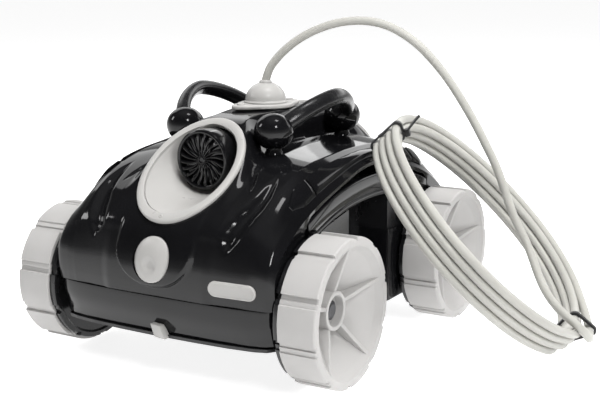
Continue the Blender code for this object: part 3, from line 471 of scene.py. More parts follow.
def spread(tree, socket, low, high):
    """The middle of a noise's range, spread over low to high."""
    inputs = {"From Min": 0.3, "From Max": 0.7, "To Min": low, "To Max": high, "Value": socket}
    return node(tree, "ShaderNodeMapRange", inputs).outputs["Result"]


def moulding(name, colour, roughness, variation=0.06, rough_spread=0.05, grain=900, bump=0.02, wave=0.0,
             metallic=0.0, ior=1.5, stretch=(1, 1, 1)):
    """Moulded plastic: slow drift of tone and roughness, a fine grain, and slow waves where wave is set."""
    material = bpy.data.materials.new(name)
    material.use_nodes = True
    tree = material.node_tree
    coordinates = node(tree, "ShaderNodeTexCoord", {}).outputs["Object"]
    tone = spread(tree, noise(tree, coordinates, 22, 4, stretch), 0.0, 1.0)
    low = (*[c * (1 - variation) for c in colour], 1)
    high = (*[c * (1 + variation) for c in colour], 1)
    mix = node(tree, "ShaderNodeMix", {"A": low, "B": high, "Factor": tone}, data_type="RGBA")
    drift = noise(tree, coordinates, 60, 5, stretch)
    rough = spread(tree, drift, roughness - rough_spread, roughness + rough_spread)
    fine = {"Strength": bump, "Distance": 0.0004, "Height": noise(tree, coordinates, grain, 2, stretch)}
    normal = node(tree, "ShaderNodeBump", fine).outputs["Normal"]
    if wave:
        height = noise(tree, coordinates, 28, 1)
        slow = {"Strength": wave, "Distance": 0.002, "Height": height, "Normal": normal}
        normal = node(tree, "ShaderNodeBump", slow).outputs["Normal"]
    feed(tree, tree.nodes["Principled BSDF"], {"Base Color": mix.outputs["Result"], "Roughness": rough,
                                               "Normal": normal, "Metallic": metallic, "IOR": ior})
    return material


def woven(name, colour):
    """Filter cloth: two crossed sets of fine threads."""
    material = moulding(name, colour, 0.85, variation=0.08)
    tree = material.node_tree
    coordinates = tree.nodes["Texture Coordinate"].outputs["Object"]
    threads = {}
    for i, direction in enumerate(("X", "Z")):
        wave = node(tree, "ShaderNodeTexWave", {"Scale": 260, "Vector": coordinates}, wave_type="BANDS",
                    bands_direction=direction)
        threads[i] = wave.outputs["Fac"]
    cross = node(tree, "ShaderNodeMath", threads, operation="MULTIPLY").outputs["Value"]
    bump = node(tree, "ShaderNodeBump", {"Strength": 0.5, "Distance": 0.0006, "Height": cross})
    feed(tree, tree.nodes["Principled BSDF"], {"Normal": bump.outputs["Normal"]})
    return material


GLOSS = moulding("gloss_black", (0.0042, 0.0042, 0.0048), 0.075, rough_spread=0.03, bump=0.006, wave=0.045,
                 ior=1.41, variation=0.2)
SATIN = moulding("satin_black", (0.0075, 0.0075, 0.0082), 0.24, rough_spread=0.06, bump=0.05, wave=0.03,
                 variation=0.25)
MATTE = moulding("matte_black", (0.011, 0.011, 0.012), 0.42, rough_spread=0.08, bump=0.25, variation=0.25)
TYRE = moulding("wheel_grey", (0.385, 0.377, 0.370), 0.50, bump=0.16, variation=0.035)
PALE = moulding("pale_grey", (0.365, 0.358, 0.347), 0.32, bump=0.05, variation=0.03)
CABLE = moulding("cable_jacket", (0.375, 0.370, 0.343), 0.42, bump=0.12, variation=0.06, grain=1400)
NYLON = moulding("tie_nylon", (0.005, 0.005, 0.0055), 0.40, bump=0.12, variation=0.3)
DARK = moulding("dark_grey", (0.085, 0.085, 0.092), 0.42, bump=0.15, variation=0.12)
STEEL = moulding("steel", (0.60, 0.60, 0.62), 0.28, metallic=1.0, bump=0.08, variation=0.05,
                 stretch=(1, 1, 8))
ZINC = moulding("dull_zinc", (0.10, 0.10, 0.105), 0.45, metallic=1.0, bump=0.1, variation=0.1)
FOAM = moulding("float_foam", (0.72, 0.73, 0.70), 0.85, grain=420, bump=0.5, variation=0.06)
CLOTH = woven("filter_cloth", (0.74, 0.74, 0.71))


# ---------------------------------------------------------------- cable
def coil_frame():
    normal = Vector((sin(COIL_TILT) * cos(COIL_TURN), sin(COIL_TILT) * sin(COIL_TURN),
                     cos(COIL_TILT)))
    level = Vector((-sin(COIL_TURN), cos(COIL_TURN), 0))
    return normal, level, normal.cross(level)


def coil_point(degrees, radius, axial):
    normal, level, slope = coil_frame()
    a = radians(degrees)
    return COIL_CENTRE + (level * cos(a) + slope * sin(a)) * radius + normal * axial


def strand_place(degrees):
    """(axial, radial) place of the strand in the bundle; degrees count on through all the turns."""
    turn = int((degrees - MOVE_START) // 360)
    if turn <= 0:
        return STRANDS[0]
    here = STRANDS[min(turn, len(STRANDS)) - 1]
    there = STRANDS[min(turn, len(STRANDS) - 1)]
    t = clamp((degrees - MOVE_START - 360 * turn) / (MOVE_END - MOVE_START))
    bulge = sin(pi * t)
    axial = lerp(here[0], there[0], ease(t))
    radial = lerp(here[1], there[1], ease(t))
    if here[1] != there[1]:
        return axial - MOVE_PUSH * bulge, radial
    return axial, radial + copysign(MOVE_LIFT, radial) * bulge * (here != there)


def bundle_point(degrees, axial, radial):
    """Point of the bundle's cross-section at an angle, drawn inward round the coil's low side."""
    offset = (degrees - DRAW_MIDDLE + 180) % 360 - 180
    draw = 0.5 + 0.5 * cos(pi * min(abs(offset) / DRAW_REACH, 1.0))
    return coil_point(degrees, COIL_R + radial - DRAW_IN * draw, axial - DRAW_DOWN * draw)


def even_points(points, spacing):
    """Points at even steps along a smooth curve through points."""
    steps = 12 * (len(points) - 1)
    fine = [Vector(spline(points, (len(points) - 1) * i / steps)) for i in range(steps + 1)]
    lengths = [0.0]
    for a, b in zip(fine, fine[1:]):
        lengths.append(lengths[-1] + (b - a).length)
    count = max(int(round(lengths[-1] / spacing)), 2)
    even = []
    j = 0
    for i in range(count + 1):
        target = lengths[-1] * i / count
        while j < len(lengths) - 2 and lengths[j + 1] < target:
            j += 1
        share = (target - lengths[j]) / max(lengths[j + 1] - lengths[j], 1e-9)
        even.append(fine[j].lerp(fine[j + 1], min(share, 1.0)))
    return even


def cord_points():
    """Whole centreline of the cable, from the gland to its plug."""
    free = [tuple(p) for p in CORD_ROUTE] + [tuple(coil_point(*p)) for p in CORD_ENTRY]
    lead = [tuple(bundle_point(a, *strand_place(a))) for a in (ENTRY_END, ENTRY_END + 10, ENTRY_END + 20)]
    points = even_points(free + lead, 0.0120)
    last = PLUG_ANGLE + 360 * PLUG_TURNS
    degrees = ENTRY_END + 28
    while degrees < last + PLUG_LEAD[0][0] - 4:
        points.append(bundle_point(degrees, *strand_place(degrees)))
        degrees += 8
    points += [coil_point(last + before, radius, axial) for before, radius, axial in PLUG_LEAD]
    middle, along = plug_frame()
    for back in (0.004, -0.010):
        points.append(middle - along * (PLUG_HALF + back))
    return points


def plug_frame():
    """Middle of the plug, and the direction in which the cable runs into it."""
    normal, level, slope = coil_frame()
    a = radians(PLUG_ANGLE)
    along = (slope * cos(a) - level * sin(a)).normalized()
    return coil_point(PLUG_ANGLE, PLUG_R, PLUG_AXIAL), along


def build_plug():
    """Round connector: ribbed strain relief, knurled collar and an open end with three contacts."""
    middle, along = plug_frame()
    place = Matrix.Translation(middle) @ Vector((0, 0, 1)).rotation_difference(along).to_matrix().to_4x4()
    profile = [(0.0044, -PLUG_HALF)]
    for i in range(5):
        z = -PLUG_HALF + 0.0022 + i * 0.0034
        profile += [(0.0052 + i * 0.0002, z), (0.0052 + i * 0.0002, z + 0.0018), (0.0046, z + 0.0022),
                    (0.0046, z + 0.0032)]
    profile += [(0.0066, -0.0118), (0.0078, -0.0108), (0.0078, 0.0175), (0.0070, 0.0188), (0.0070, PLUG_HALF),
                (0.0058, PLUG_HALF), (0.0056, 0.0235), (0.0002, 0.0235)]
    parts = [turned(rounded(profile, 0.0004, 2), 40, place)]
    for a in angles(18):
        ridge = [place @ spun(0.0077, a, z) for z in (-0.0095, -0.0085, 0.015, 0.016)]
        parts.append(tube(ridge, [0.0002, 0.0005, 0.0005, 0.0002], 6))
    for a in angles(3):
        pin = [place @ spun(0.0026, a, z) for z in (0.0230, 0.0290, 0.0296)]
        parts.append(tube(pin, [0.0007, 0.0007, 0.0004], 8))
    return mesh_piece("plug", parts, 35, MATTE, "cord_connector")


def hull(points):
    """Convex outline of 2-D points."""
    ordered = sorted(points)

    def chain(sequence):
        kept = []
        for p in sequence:
            while len(kept) > 1:
                (ax, ay), (bx, by) = kept[-2], kept[-1]
                if (bx - ax) * (p[1] - ay) - (by - ay) * (p[0] - ax) > 0:
                    break
                kept.pop()
            kept.append(p)
        return kept[:-1]

    return chain(ordered) + chain(reversed(ordered))


def build_tie(name, degrees, node_name, head_at, tails, beside):
    """Nylon strap round the bundle and the strands beside it, with its locking head and cut tails."""
    strands = list(beside)
    turn = degrees + 360
    while turn < PLUG_ANGLE + 360 * PLUG_TURNS - 48:
        strands.append(strand_place(turn))
        turn += 360
    jacket = circle(CORD_D / 2 + GAP, 20)
    outline = hull([(axial + x, radial + y) for axial, radial in strands for x, y in jacket])
    centre = Vector((sum(p[0] for p in outline) / len(outline), sum(p[1] for p in outline) / len(outline)))
    rows = []
    half = to_degrees(TIE_WIDTH / 2 / COIL_R)
    for grow, offset in ((0.0001, -half), (0.0001, half), (0.0020, half * 0.96), (0.0026, half * 0.7),
                         (0.0026, -half * 0.7), (0.0020, -half * 0.96)):
        ring = []
        for p in outline:
            out = (Vector(p) - centre).normalized() * grow
            ring.append(bundle_point(degrees + offset, p[0] + out.x, p[1] + out.y))
        rows.append(ring)
    parts = [skin(rows, wrap_rows=True)]
    middle = bundle_point(degrees, *centre)
    spot = bundle_point(degrees, *head_at)
    along = (bundle_point(degrees + 1, *head_at) - spot).normalized()
    outward = (spot - middle).normalized()
    across = outward.cross(along).normalized()
    corners = [(0.0040, 0.0036), (-0.0040, 0.0036), (-0.0040, -0.0036), (0.0040, -0.0036)]
    head = rounded(corners, 0.0012, 3, loop=True)
    rows = [[spot + along * x * s + across * y * s + outward * h for x, y in head]
            for s, h in ((0.9, -0.0008), (1.0, 0.0002), (1.0, 0.0036), (0.88, 0.0044))]
    parts.append(skin(rows, caps=True))
    for start, points in tails:
        first = bundle_point(degrees, *start)
        path = [tuple(first + Vector(p)) for p in points]
        smooth = [Vector(spline(path, (len(path) - 1) * i / 16)) for i in range(17)]
        sizes = [TIE_WIDTH / 2 * (1.0 - 0.5 * ease((i - 14) / 2)) for i in range(17)]
        parts.append(strap(smooth, sizes, along))
    return mesh_piece(name, parts, 30, NYLON, node_name)


def build_cable():
    points = cord_points()
    curve = bpy.data.curves.new("cable", "CURVE")
    curve.dimensions = "3D"
    curve.bevel_depth = CORD_D / 2
    curve.bevel_resolution = 5
    curve.use_fill_caps = True
    curve.resolution_u = 3
    curve.render_resolution_u = 3
    line = curve.splines.new("NURBS")
    line.points.add(len(points) - 1)
    for target, point in zip(line.points, points):
        target.co = (*point, 1.0)
    line.order_u = 3
    line.use_endpoint_u = True
    cable = place_piece("cable", curve, CABLE, ["cord_free", "cord_coil"])
    plug = build_plug()
    top = build_tie("tie_top", TIE_TOP_AT, "cord_tie_top", (0.0160, -0.0060), TOP_TAILS, [STRANDS[0]])
    bottom = build_tie("tie_bottom", TIE_BOTTOM_AT, "cord_tie_bottom", (-0.0060, 0.0086), BOTTOM_TAILS,
                       [(0.0108, 0.0150)])


# ---------------------------------------------------------------- upper shell
def bib_share(x, z):
    """1 inside the rounded bib under the latch, 0 outside it."""
    reach = x / BIB_HALF if z > BIB_Z else hypot(x / BIB_HALF, (BIB_Z - z) / BIB_DEEP)
    return 1.0 - ease((reach - 0.90) / 0.10)


def shell_point(x, t):
    """(y, z) of the upper shell's outer face at distance x from the middle plane and profile place t."""
    face = spline(FACE_LINE, t, True)
    if x <= BONNET_X:
        centre = spline(CENTRE_LINE, t, True)
        share = bib_share(x, centre[1]) if t < 6 else 0.0
        top = [lerp(a, b, share) for a, b in zip(face, centre)]
        start, end = spline(FLANK, t) if 6 < t < 11.99 else FLANK[min(int(t), CROWN)]
        down = ease((x - start) / (end - start))
        return [lerp(a, b, down) for a, b in zip(top, spline(BONNET_LINE, t, True))]
    lines = [spline(line, t, True) for _, line in STATIONS]
    knots = [station for station, _ in STATIONS]
    k = 0
    while k < len(knots) - 2 and x > knots[k + 1]:
        k += 1
    return spline(lines, k + clamp((x - knots[k]) / (knots[k + 1] - knots[k])))


def hollow_depth(x, t, outline, depth):
    """How deep a pressed hollow is at (x, t): steepest at its outer edge, soft at its inner one."""
    edges = table(outline, t)
    if edges is None:
        return 0.0
    inner, outer = edges
    u = (x - inner) / max(outer - inner, 1e-6)
    if not 0 < u < 1:
        return 0.0
    starts, stops = HOLLOW_FADE
    ends = ease((t - outline[0][0]) / starts) * ease((outline[-1][0] - t) / stops)
    return depth * ends * sin(pi * u ** 1.15) ** 2


def shell_sheet():
    """Grid of the upper shell's outer face: columns across, rows from the front edge over to the rear one."""
    columns, rows = 110, 240
    distances = [SIDE_X * i / columns for i in range(columns + 1)]
    places = [CROWN * i / rows for i in range(rows + 1)]
    quarter = np.zeros((columns + 1, rows + 1, 3))
    for i, x in enumerate(distances):
        for j, t in enumerate(places):
            y, z = shell_point(x, t)
            quarter[i, j] = (x, y, z)
    across = np.gradient(quarter, axis=0)
    upward = np.gradient(quarter, axis=1)
    normal = np.cross(across, upward)
    normal /= np.linalg.norm(normal, axis=2, keepdims=True)
    for i, x in enumerate(distances):
        for j, t in enumerate(places):
            depth = hollow_depth(x, t, LONG_HOLLOW, LONG_DEPTH)
            depth += hollow_depth(x, t, SHORT_HOLLOW, SHORT_DEPTH)
            quarter[i, j] -= normal[i, j] * depth
    edge_rows = []
    for share in (0.35, 0.7, 1.0):
        column = []
        for j, t in enumerate(places):
            y0, z0 = quarter[columns, j, 1:]
            y1, z1 = spline(EDGE_LINE, t, True)
            z1 = max(z1, PART_Z + GAP)
            column.append((SIDE_X - 0.0005 * share, lerp(y0, y1, share), lerp(z0, z1, share)))
        edge_rows.append(column)
    right = [list(map(tuple, column)) for column in quarter] + edge_rows
    full = []
    for column in right:
        full.append(column + [(x, -y, z) for x, y, z in reversed(column[:-1])])
    left = [[(-x, y, z) for x, y, z in column] for column in reversed(full[1:])]
    return left + full


def latch_frame(end):
    """Frame at a latch button: its +Z points out of the shell."""
    outward = Vector((0, end * sin(LATCH_TILT), cos(LATCH_TILT)))
    across = Vector((1, 0, 0))
    matrix = Matrix((across, outward.cross(across), outward)).transposed().to_4x4()
    return Matrix.Translation((0, end * LATCH_Y, LATCH_Z)) @ matrix


def rim_frame(end):
    """Frame in the plane of a nozzle's rim: +X across, +Y up the slope, +Z outward."""
    along = Vector((0, -end * cos(NOZZLE_SLOPE), sin(NOZZLE_SLOPE)))
    normal = Vector((0, end * sin(NOZZLE_SLOPE), cos(NOZZLE_SLOPE)))
    matrix = Matrix((Vector((1, 0, 0)), along, normal)).transposed().to_4x4()
    return Matrix.Translation((0, end * NOZZLE_Y, NOZZLE_Z)) @ matrix


def egg(x, y):
    """Radius of the latch button's outline round (x, y) as a share of its half sizes; it is fuller below."""
    return 1.0 - 0.07 * y / max(hypot(x, y), 1e-6)


def open_hole(bm, frame_matrix, half_x, half_y, snap, egg_sign=0):
    """Remove the faces inside an ellipse of a frame, and pull the hole's edge onto the ellipse."""
    inverse = frame_matrix.inverted()

    def reach(point):
        local = inverse @ point
        if abs(local.z) > 0.030:
            return 9.0, local
        scale = egg(local.x, local.y * egg_sign) if egg_sign else 1.0
        return hypot(local.x / (half_x * scale), local.y / (half_y * scale)), local

    inside = [face for face in bm.faces if reach(face.calc_center_median())[0] < 1.0]
    ring = {vert for face in inside for vert in face.verts}
    bmesh.ops.delete(bm, geom=inside, context="FACES")
    if not snap:
        return
    for vert in ring:
        if vert.is_valid and vert.is_boundary:
            share, local = reach(vert.co)
            local.x /= share
            local.y /= share
            vert.co = frame_matrix @ local


def build_upper_shell():
    mesh = make_mesh("upper_shell_sheet", [skin(shell_sheet(), wrap_ring=False)])
    bm = bmesh.new()
    bm.from_mesh(mesh)
    crown = max(bm.faces, key=lambda face: face.calc_center_median().z)
    if crown.normal.z < 0:
        bmesh.ops.reverse_faces(bm, faces=bm.faces)
    for end in (-1, 1):
        open_hole(bm, rim_frame(end), RIM_WIDE - 0.0018, RIM_LONG - 0.0018, False)
        wide, tall = [half + 0.0006 for half in LATCH_HALF]
        open_hole(bm, latch_frame(end), wide, tall, True, egg_sign=-end)
    bm.to_mesh(mesh)
    bm.free()
    place_piece("shell_top", thicken(mesh, SHELL_T), GLOSS, ["upper_shell"])


# ---------------------------------------------------------------- nozzles
def build_nozzle(end):
    """Slanted pale rim, and the funnel that narrows to a round collar beside the jet guard."""
    matrix = rim_frame(end)
    around = angles(96)

    def ellipse(wide, long, height):
        return [matrix @ Vector((wide * cos(a), long * sin(a), height)) for a in around]

    def collar(radius, near, far):
        return [Vector((radius * cos(a), end * lerp(near, far, 0.5 + 0.5 * sin(a)), PUMP_Z + radius * sin(a)))
                for a in around]

    mouth = ellipse(MOUTH_WIDE - 0.0006, MOUTH_LONG - 0.0006, 0.0004)
    throat = collar(0.0318, 0.1010, 0.0920)
    rings = [ellipse(RIM_WIDE + grow, RIM_LONG + grow, height)
             for grow, height in ((0.0004, -0.0016), (0.0006, 0.0006), (0.0001, 0.0019), (-0.0010, 0.0026))]
    rings.append(ellipse(RIM_WIDE - 0.0034, RIM_LONG - 0.0040, 0.0028))
    rings += [ellipse(MOUTH_WIDE + grow, MOUTH_LONG + grow, height)
              for grow, height in ((0.0016, 0.0026), (0.0004, 0.0021), (0.0002, -0.0004), (-0.0005, -0.0004))]
    rings.append(mouth)
    for share in (0.10, 0.22, 0.36, 0.50, 0.65, 0.80, 0.92, 1.0):
        rings.append([p.lerp(q, share) for p, q in zip(mouth, throat)])
    rings += [collar(*sizes) for sizes in ((0.0313, 0.1000, 0.0912), (0.0306, 0.0960, 0.0890),
                                           (0.0303, 0.0850, 0.0850), (0.0303, 0.0640, 0.0640),
                                           (0.0316, 0.0640, 0.0640), (0.0330, 0.0900, 0.0860))]
    rings += [ellipse(RIM_WIDE + grow, RIM_LONG + grow, height)
              for grow, height in ((-0.0042, -0.0060), (-0.0022, -0.0024))]
    parts = [skin(rings, wrap_rows=True)]
    screw = matrix @ Matrix.Translation((0, -(RIM_LONG + MOUTH_LONG) / 2, 0.0024))
    head = [(0.0022, 0.0), (0.0022, 0.0006), (0.0017, 0.0010), (0.0008, 0.0010), (0.0006, 0.0004),
            (0.0002, 0.0004)]
    parts.append(turned(head, 20, screw))
    mesh_piece("nozzle_mouth_" + end_name(end), parts, 40, PALE, "nozzle_" + end_name(end))


def build_guard(end, ribs=20):
    """Glossy drum over the jet: rounded rim, a ring of curved ribs and a small hub boss."""
    turn = Matrix.Rotation(end * radians(90), 4, "X")
    place = Matrix.Translation((0, end * GUARD_Y, PUMP_Z)) @ turn
    wall = [(GUARD_R, 0.0212), (GUARD_R, 0.0030), (GUARD_R - 0.0006, 0.0010), (GUARD_R - 0.0022, 0.0),
            (GUARD_R - 0.0038, 0.0006), (GUARD_R - 0.0046, 0.0024), (GUARD_R - 0.0046, 0.0048),
            (GUARD_R - 0.0030, 0.0060), (GUARD_R - 0.0024, 0.0212)]
    parts = [turned(rounded(wall, 0.0006, 3, loop=True), 72, place, bore=True)]
    disc = [(GUARD_R - 0.0040, 0.0072), (GUARD_R - 0.0040, 0.0056), (0.0002, 0.0056)]
    parts.append(turned(disc, 48, place))
    boss = [(0.0052, 0.0060), (0.0050, 0.0018), (0.0040, 0.0004), (0.0026, -0.0002), (0.0024, 0.0012),
            (0.0002, 0.0012)]
    parts.append(turned(rounded(boss, 0.0005, 3), 28, place))
    for base in angles(ribs):
        path, sizes = [], []
        for step in range(13):
            u = step / 12
            radius = lerp(0.0042, 0.0258, u)
            a = base + 0.20 * ease(u) - 0.05 * sin(pi * u)
            rise = 0.0016 + 0.0008 * sin(pi * u) + 0.0016 * ease((u - 0.85) / 0.15)
            path.append(place @ spun(radius, a, rise))
            sizes.append(lerp(0.00060, 0.00200, ease(u * 1.1)))
        parts.append(tube(path, sizes, 8))
    clip = [place @ spun(GUARD_R * 1.02, radians(-end * d), 0.0060) for d in (118, 122, 126, 130)]
    parts.append(tube(clip, 0.0024, 8))
    mesh_piece("jet_guard_" + end_name(end), parts, 40, GLOSS, "guard_" + end_name(end))


# ---------------------------------------------------------------- lower body
def body_outline():
    """Plan of the lower body with the pocket between the wheels; anticlockwise from the front middle."""
    nose = [(0.0, 0.1960), (0.0450, 0.1952), (0.0800, 0.1935), (0.1050, 0.1905), (0.1170, 0.1865),
            (LOWER_X, 0.1795)]
    quarter = []
    steps = 60
    for i in range(steps + 1):
        x, y = spline(nose, (len(nose) - 1) * i / steps)
        quarter.append((min(x, LOWER_X), y))
    quarter += [(LOWER_X, y) for y in (0.1700, 0.1600, 0.1510, 0.1500, 0.1420, 0.1250, 0.1000, 0.0850, 0.0700,
                                       0.0560, POCKET_Y + 0.003)]
    quarter += [(LOWER_X - 0.0009, POCKET_Y + 0.0009), (LOWER_X - 0.0030, POCKET_Y)]
    quarter += [(lerp(LOWER_X, POCKET_X, t), POCKET_Y) for t in (0.3, 0.6, 0.9)]
    quarter += [(POCKET_X + 0.0008, POCKET_Y - 0.0008), (POCKET_X, POCKET_Y - 0.0030), (POCKET_X, 0.0200),
                (POCKET_X, 0.0)]
    right = [(x, -y) for x, y in quarter] + [(x, y) for x, y in reversed(quarter[:-1])]
    return right + [(-x, y) for x, y in quarter[1:]] + [(-x, -y) for x, y in reversed(quarter[1:-1])]


def build_lower_shell():
    outline = body_outline()
    rows = []
    for share in (0.0, 0.012, 0.04, 0.10, 0.18, 0.28, 0.40, 0.52, 0.64, 0.76, 0.88, 0.95, 1.0):
        ring = []
        for x, y in outline:
            nose = ease((abs(y) - 0.165) / 0.012)
            corner = 0.0400 + 0.0050 * ease((abs(x) - 0.095) / 0.022)
            low = lerp(0.0310, corner, ease((abs(y) - 0.146) / 0.008))
            high = lerp(0.1077, PART_Z - GAP, ease((abs(y) - 0.1440) / 0.002))
            tuck = 0.0030 * (1 - min(share / 0.06, 1.0)) ** 2 + 0.0065 * (1 - ease(share / 0.75)) * nose
            lip = 0.0004 * ease((share - 0.93) / 0.07) * nose
            narrow = 1 - tuck * 0.4 * (1 - nose) / 0.12
            ring.append((x * narrow, copysign(abs(y) - tuck * nose - lip, y), lerp(low, high, share)))
        rows.append(ring)
    mesh = make_mesh("lower_sheet", [skin(rows)])
    place_piece("shell_lower", thicken(mesh, SHELL_T), GLOSS, ["lower_shell"])


def fender_top(y):
    return FENDER_Z - FENDER_DROP * (abs(y) / 0.142) ** 2.2


def build_fenders():
    for side in (-1, 1):
        rows = []
        for i in range(81):
            y = lerp(-FENDER_Y, FENDER_Y, i / 80)
            top = fender_top(y)
            section = [(0.1162, top), (0.1230, top + 0.0002), (0.1242, top - 0.0012), (0.1246, top - 0.0080),
                       (0.1242, top - 0.0158), (0.1232, top - 0.0168), (0.1208, top - 0.0170),
                       (0.1206, top - 0.0186), (0.1216, top - 0.0192), (0.1220, top - 0.0215),
                       (0.1214, top - 0.0238), (0.1162, top - 0.0240)]
            rows.append([(side * x, y, z) for x, z in rounded(section, 0.0006, 2, loop=True)])
        mesh_piece("fender_band_" + side_name(side), [skin(rows, caps=True)], 38, GLOSS,
                   "fender_" + side_name(side))


def build_trims():
    """Raised strip along each shoulder, with a separate tip piece at its front and its rear."""
    for side in (-1, 1):
        pieces = (("shoulder_tip_front_", 6.62, 8.12, False), ("shoulder_tip_rear_", 6.62, 8.12, True),
                  ("shoulder_strip_", 8.20, 2 * CROWN - 8.20, False))
        for label, first, last, mirrored in pieces:
            rows = []
            steps = 90 if label == "shoulder_strip_" else 30
            for i in range(steps + 1):
                t = lerp(first, last, i / steps)
                flip = -1 if (t > CROWN) != mirrored else 1
                place = 2 * CROWN - t if t > CROWN else t
                inner = spline(SHOULDER_LINE, place, True)
                outer = spline(STRIP_LINE, place, True)
                point = ease((place - 6.5) / 0.9)
                close = min(i, steps - i) / 2.0
                height = 0.0046 * (0.35 + 0.65 * point) * (0.72 + 0.28 * min(close, 1.0))
                ring = []
                for across, rise in ((-0.04, 0.2), (-0.01, 0.62), (0.08, 0.92), (0.30, 1.04), (0.55, 1.08),
                                     (0.80, 1.02), (0.97, 0.88), (1.08, 0.5), (1.11, 0.15)):
                    share = lerp(0.5, across, 0.25 + 0.75 * point)
                    y, z = [lerp(a, b, share) for a, b in zip(inner, outer)]
                    x = lerp(TRIM_IN, TRIM_OUT, share)
                    ring.append((side * x, y * flip, z + height * rise))
                rows.append(ring)
            mesh_piece(label + side_name(side), [skin(rows, caps=True)], 40, GLOSS,
                       "shoulder_trim_" + side_name(side))


def build_badge():
    """Blank pill-shaped plate with a fine raised border."""
    centre_x, centre_z = BADGE_AT
    half_l, half_h = BADGE_HALF

    def face_y(x, z):
        low, high = 0.0, 3.0
        for _ in range(24):
            middle = (low + high) / 2
            if shell_point(x, middle)[1] < z:
                low = middle
            else:
                high = middle
        return shell_point(x, low)[0]

    rows = []
    for shrink, lift in ((0.0, 0.0002), (0.0, 0.0015), (0.0004, 0.0022), (0.0012, 0.0024), (0.0016, 0.0021),
                         (0.0022, 0.0019), (0.0060, 0.0019)):
        ring = []
        for a in angles(64, 0.5):
            radius = half_h - shrink
            x = centre_x + radius * cos(a) + copysign(half_l - half_h, cos(a))
            z = centre_z + radius * sin(a)
            ring.append((x, face_y(x, z) - lift, z))
        rows.append(ring)
    mesh_piece("badge", [skin(rows, caps=True)], 50, PALE, "badge_plate")


def build_release_tab():
    corners = [(-0.0040, 0.0545), (0.0070, 0.0535), (0.0130, 0.0410), (0.0005, 0.0420)]
    outline = rounded(corners, 0.0012, 4, loop=True)
    middle_x = sum(x for x, z in corners) / 4
    middle_z = sum(z for x, z in corners) / 4
    rows = []
    for shrink, y in ((0.0, -0.1905), (0.0, -0.1978), (0.06, -0.1984)):
        rows.append([(lerp(x, middle_x, shrink), y, lerp(z, middle_z, shrink)) for x, z in outline])
    mesh_piece("release_lever", [skin(rows, caps=True)], 50, PALE, "release_tab")


def build_latch(end):
    """Egg-shaped push button with a round thumb dimple low on its face."""
    matrix = latch_frame(end)
    count = 72
    dimple = Vector((0.0, end * 0.0072))

    def height(x, y, share):
        crown = 0.0045 * (1 - share ** 2.6)
        reach = (Vector((x, y)) - dimple).length / 0.0092
        return crown - 0.0024 * (1 - ease((reach - 0.25) / 0.75))

    def ring(share, depth=None):
        points = []
        for x, y in circle(1.0, count):
            scale = egg(x, y * -end) * share
            px, py = LATCH_HALF[0] * x * scale, LATCH_HALF[1] * y * scale
            points.append(matrix @ Vector((px, py, height(px, py, share) if depth is None else depth)))
        return points

    rows = [ring(*edge) for edge in ((0.975, -0.0064), (1.0, -0.0050), (1.0, -0.0010), (0.995, -0.0002))]
    rows += [ring(0.985 * (1 - k / 26) + 0.001) for k in range(1, 26)]
    mesh_piece("latch_button_" + end_name(end), [skin(rows, caps=True)], 50, PALE,
               "latch_" + end_name(end), body="latch_" + end_name(end))


# ---------------------------------------------------------------- wheels
def lug_drop(share):
    """How far the tread is lowered, 0 to 1, at a share of the pitch: a deep step, a shallow step, the lug."""
    steps = ((0.0, 0.0), (0.012, 1.0), (0.110, 1.0), (0.122, 0.50), (0.225, 0.50), (0.240, 0.0), (1.0, 0.0))
    for (a, low), (b, high) in zip(steps, steps[1:]):
        if a <= share <= b:
            return lerp(low, high, (share - a) / (b - a))
    return 0.0


def lug_angles():
    """Angles round a wheel, close together at the edges of its lugs."""
    shares = (0.0, 0.006, 0.012, 0.045, 0.080, 0.110, 0.116, 0.122, 0.160, 0.200, 0.225, 0.232, 0.240,
              0.300, 0.380, 0.460, 0.540, 0.620, 0.700, 0.780, 0.860, 0.930, 0.985)
    pitch = 2 * pi / LUGS
    return [(radians(82.5) + pitch * (lug + share), share) for lug in range(LUGS) for share in shares]


def lugged(profile, groove):
    """Ring turned about X from (radius, x, tread) points, its tread stepped down between the lugs."""
    rows = []
    for angle, share in lug_angles():
        drop = groove * lug_drop(share)
        rows.append([Vector((x, (r - drop * g) * cos(angle), (r - drop * g) * sin(angle)))
                     for r, x, g in profile])
    return skin(rows, wrap_rows=True)


def wheel_profile():
    """Section of a wheel as (radius, x, 1 on the tread): rim, web, hub with its recess, and the open back."""
    corners = [(WHEEL_R, WHEEL_IN), (WHEEL_R, 0.1672), (0.0690, WHEEL_OUT), (0.0616, WHEEL_OUT),
               (0.0608, 0.1672), (0.0560, 0.1622), (0.0240, 0.1392), (0.0187, 0.1386), (0.0185, 0.1509),
               (0.0180, 0.1516), (0.0149, 0.1516), (0.0144, 0.1511), (0.0144, 0.1430), (0.0062, 0.1430),
               (0.0062, 0.1344), (0.0220, 0.1350), (0.0640, 0.1625), (0.0640, WHEEL_IN)]
    fine = rounded(corners, 0.0007, 3, loop=True)
    return [(r, x, 1 if r > 0.0665 else 0) for r, x in fine]


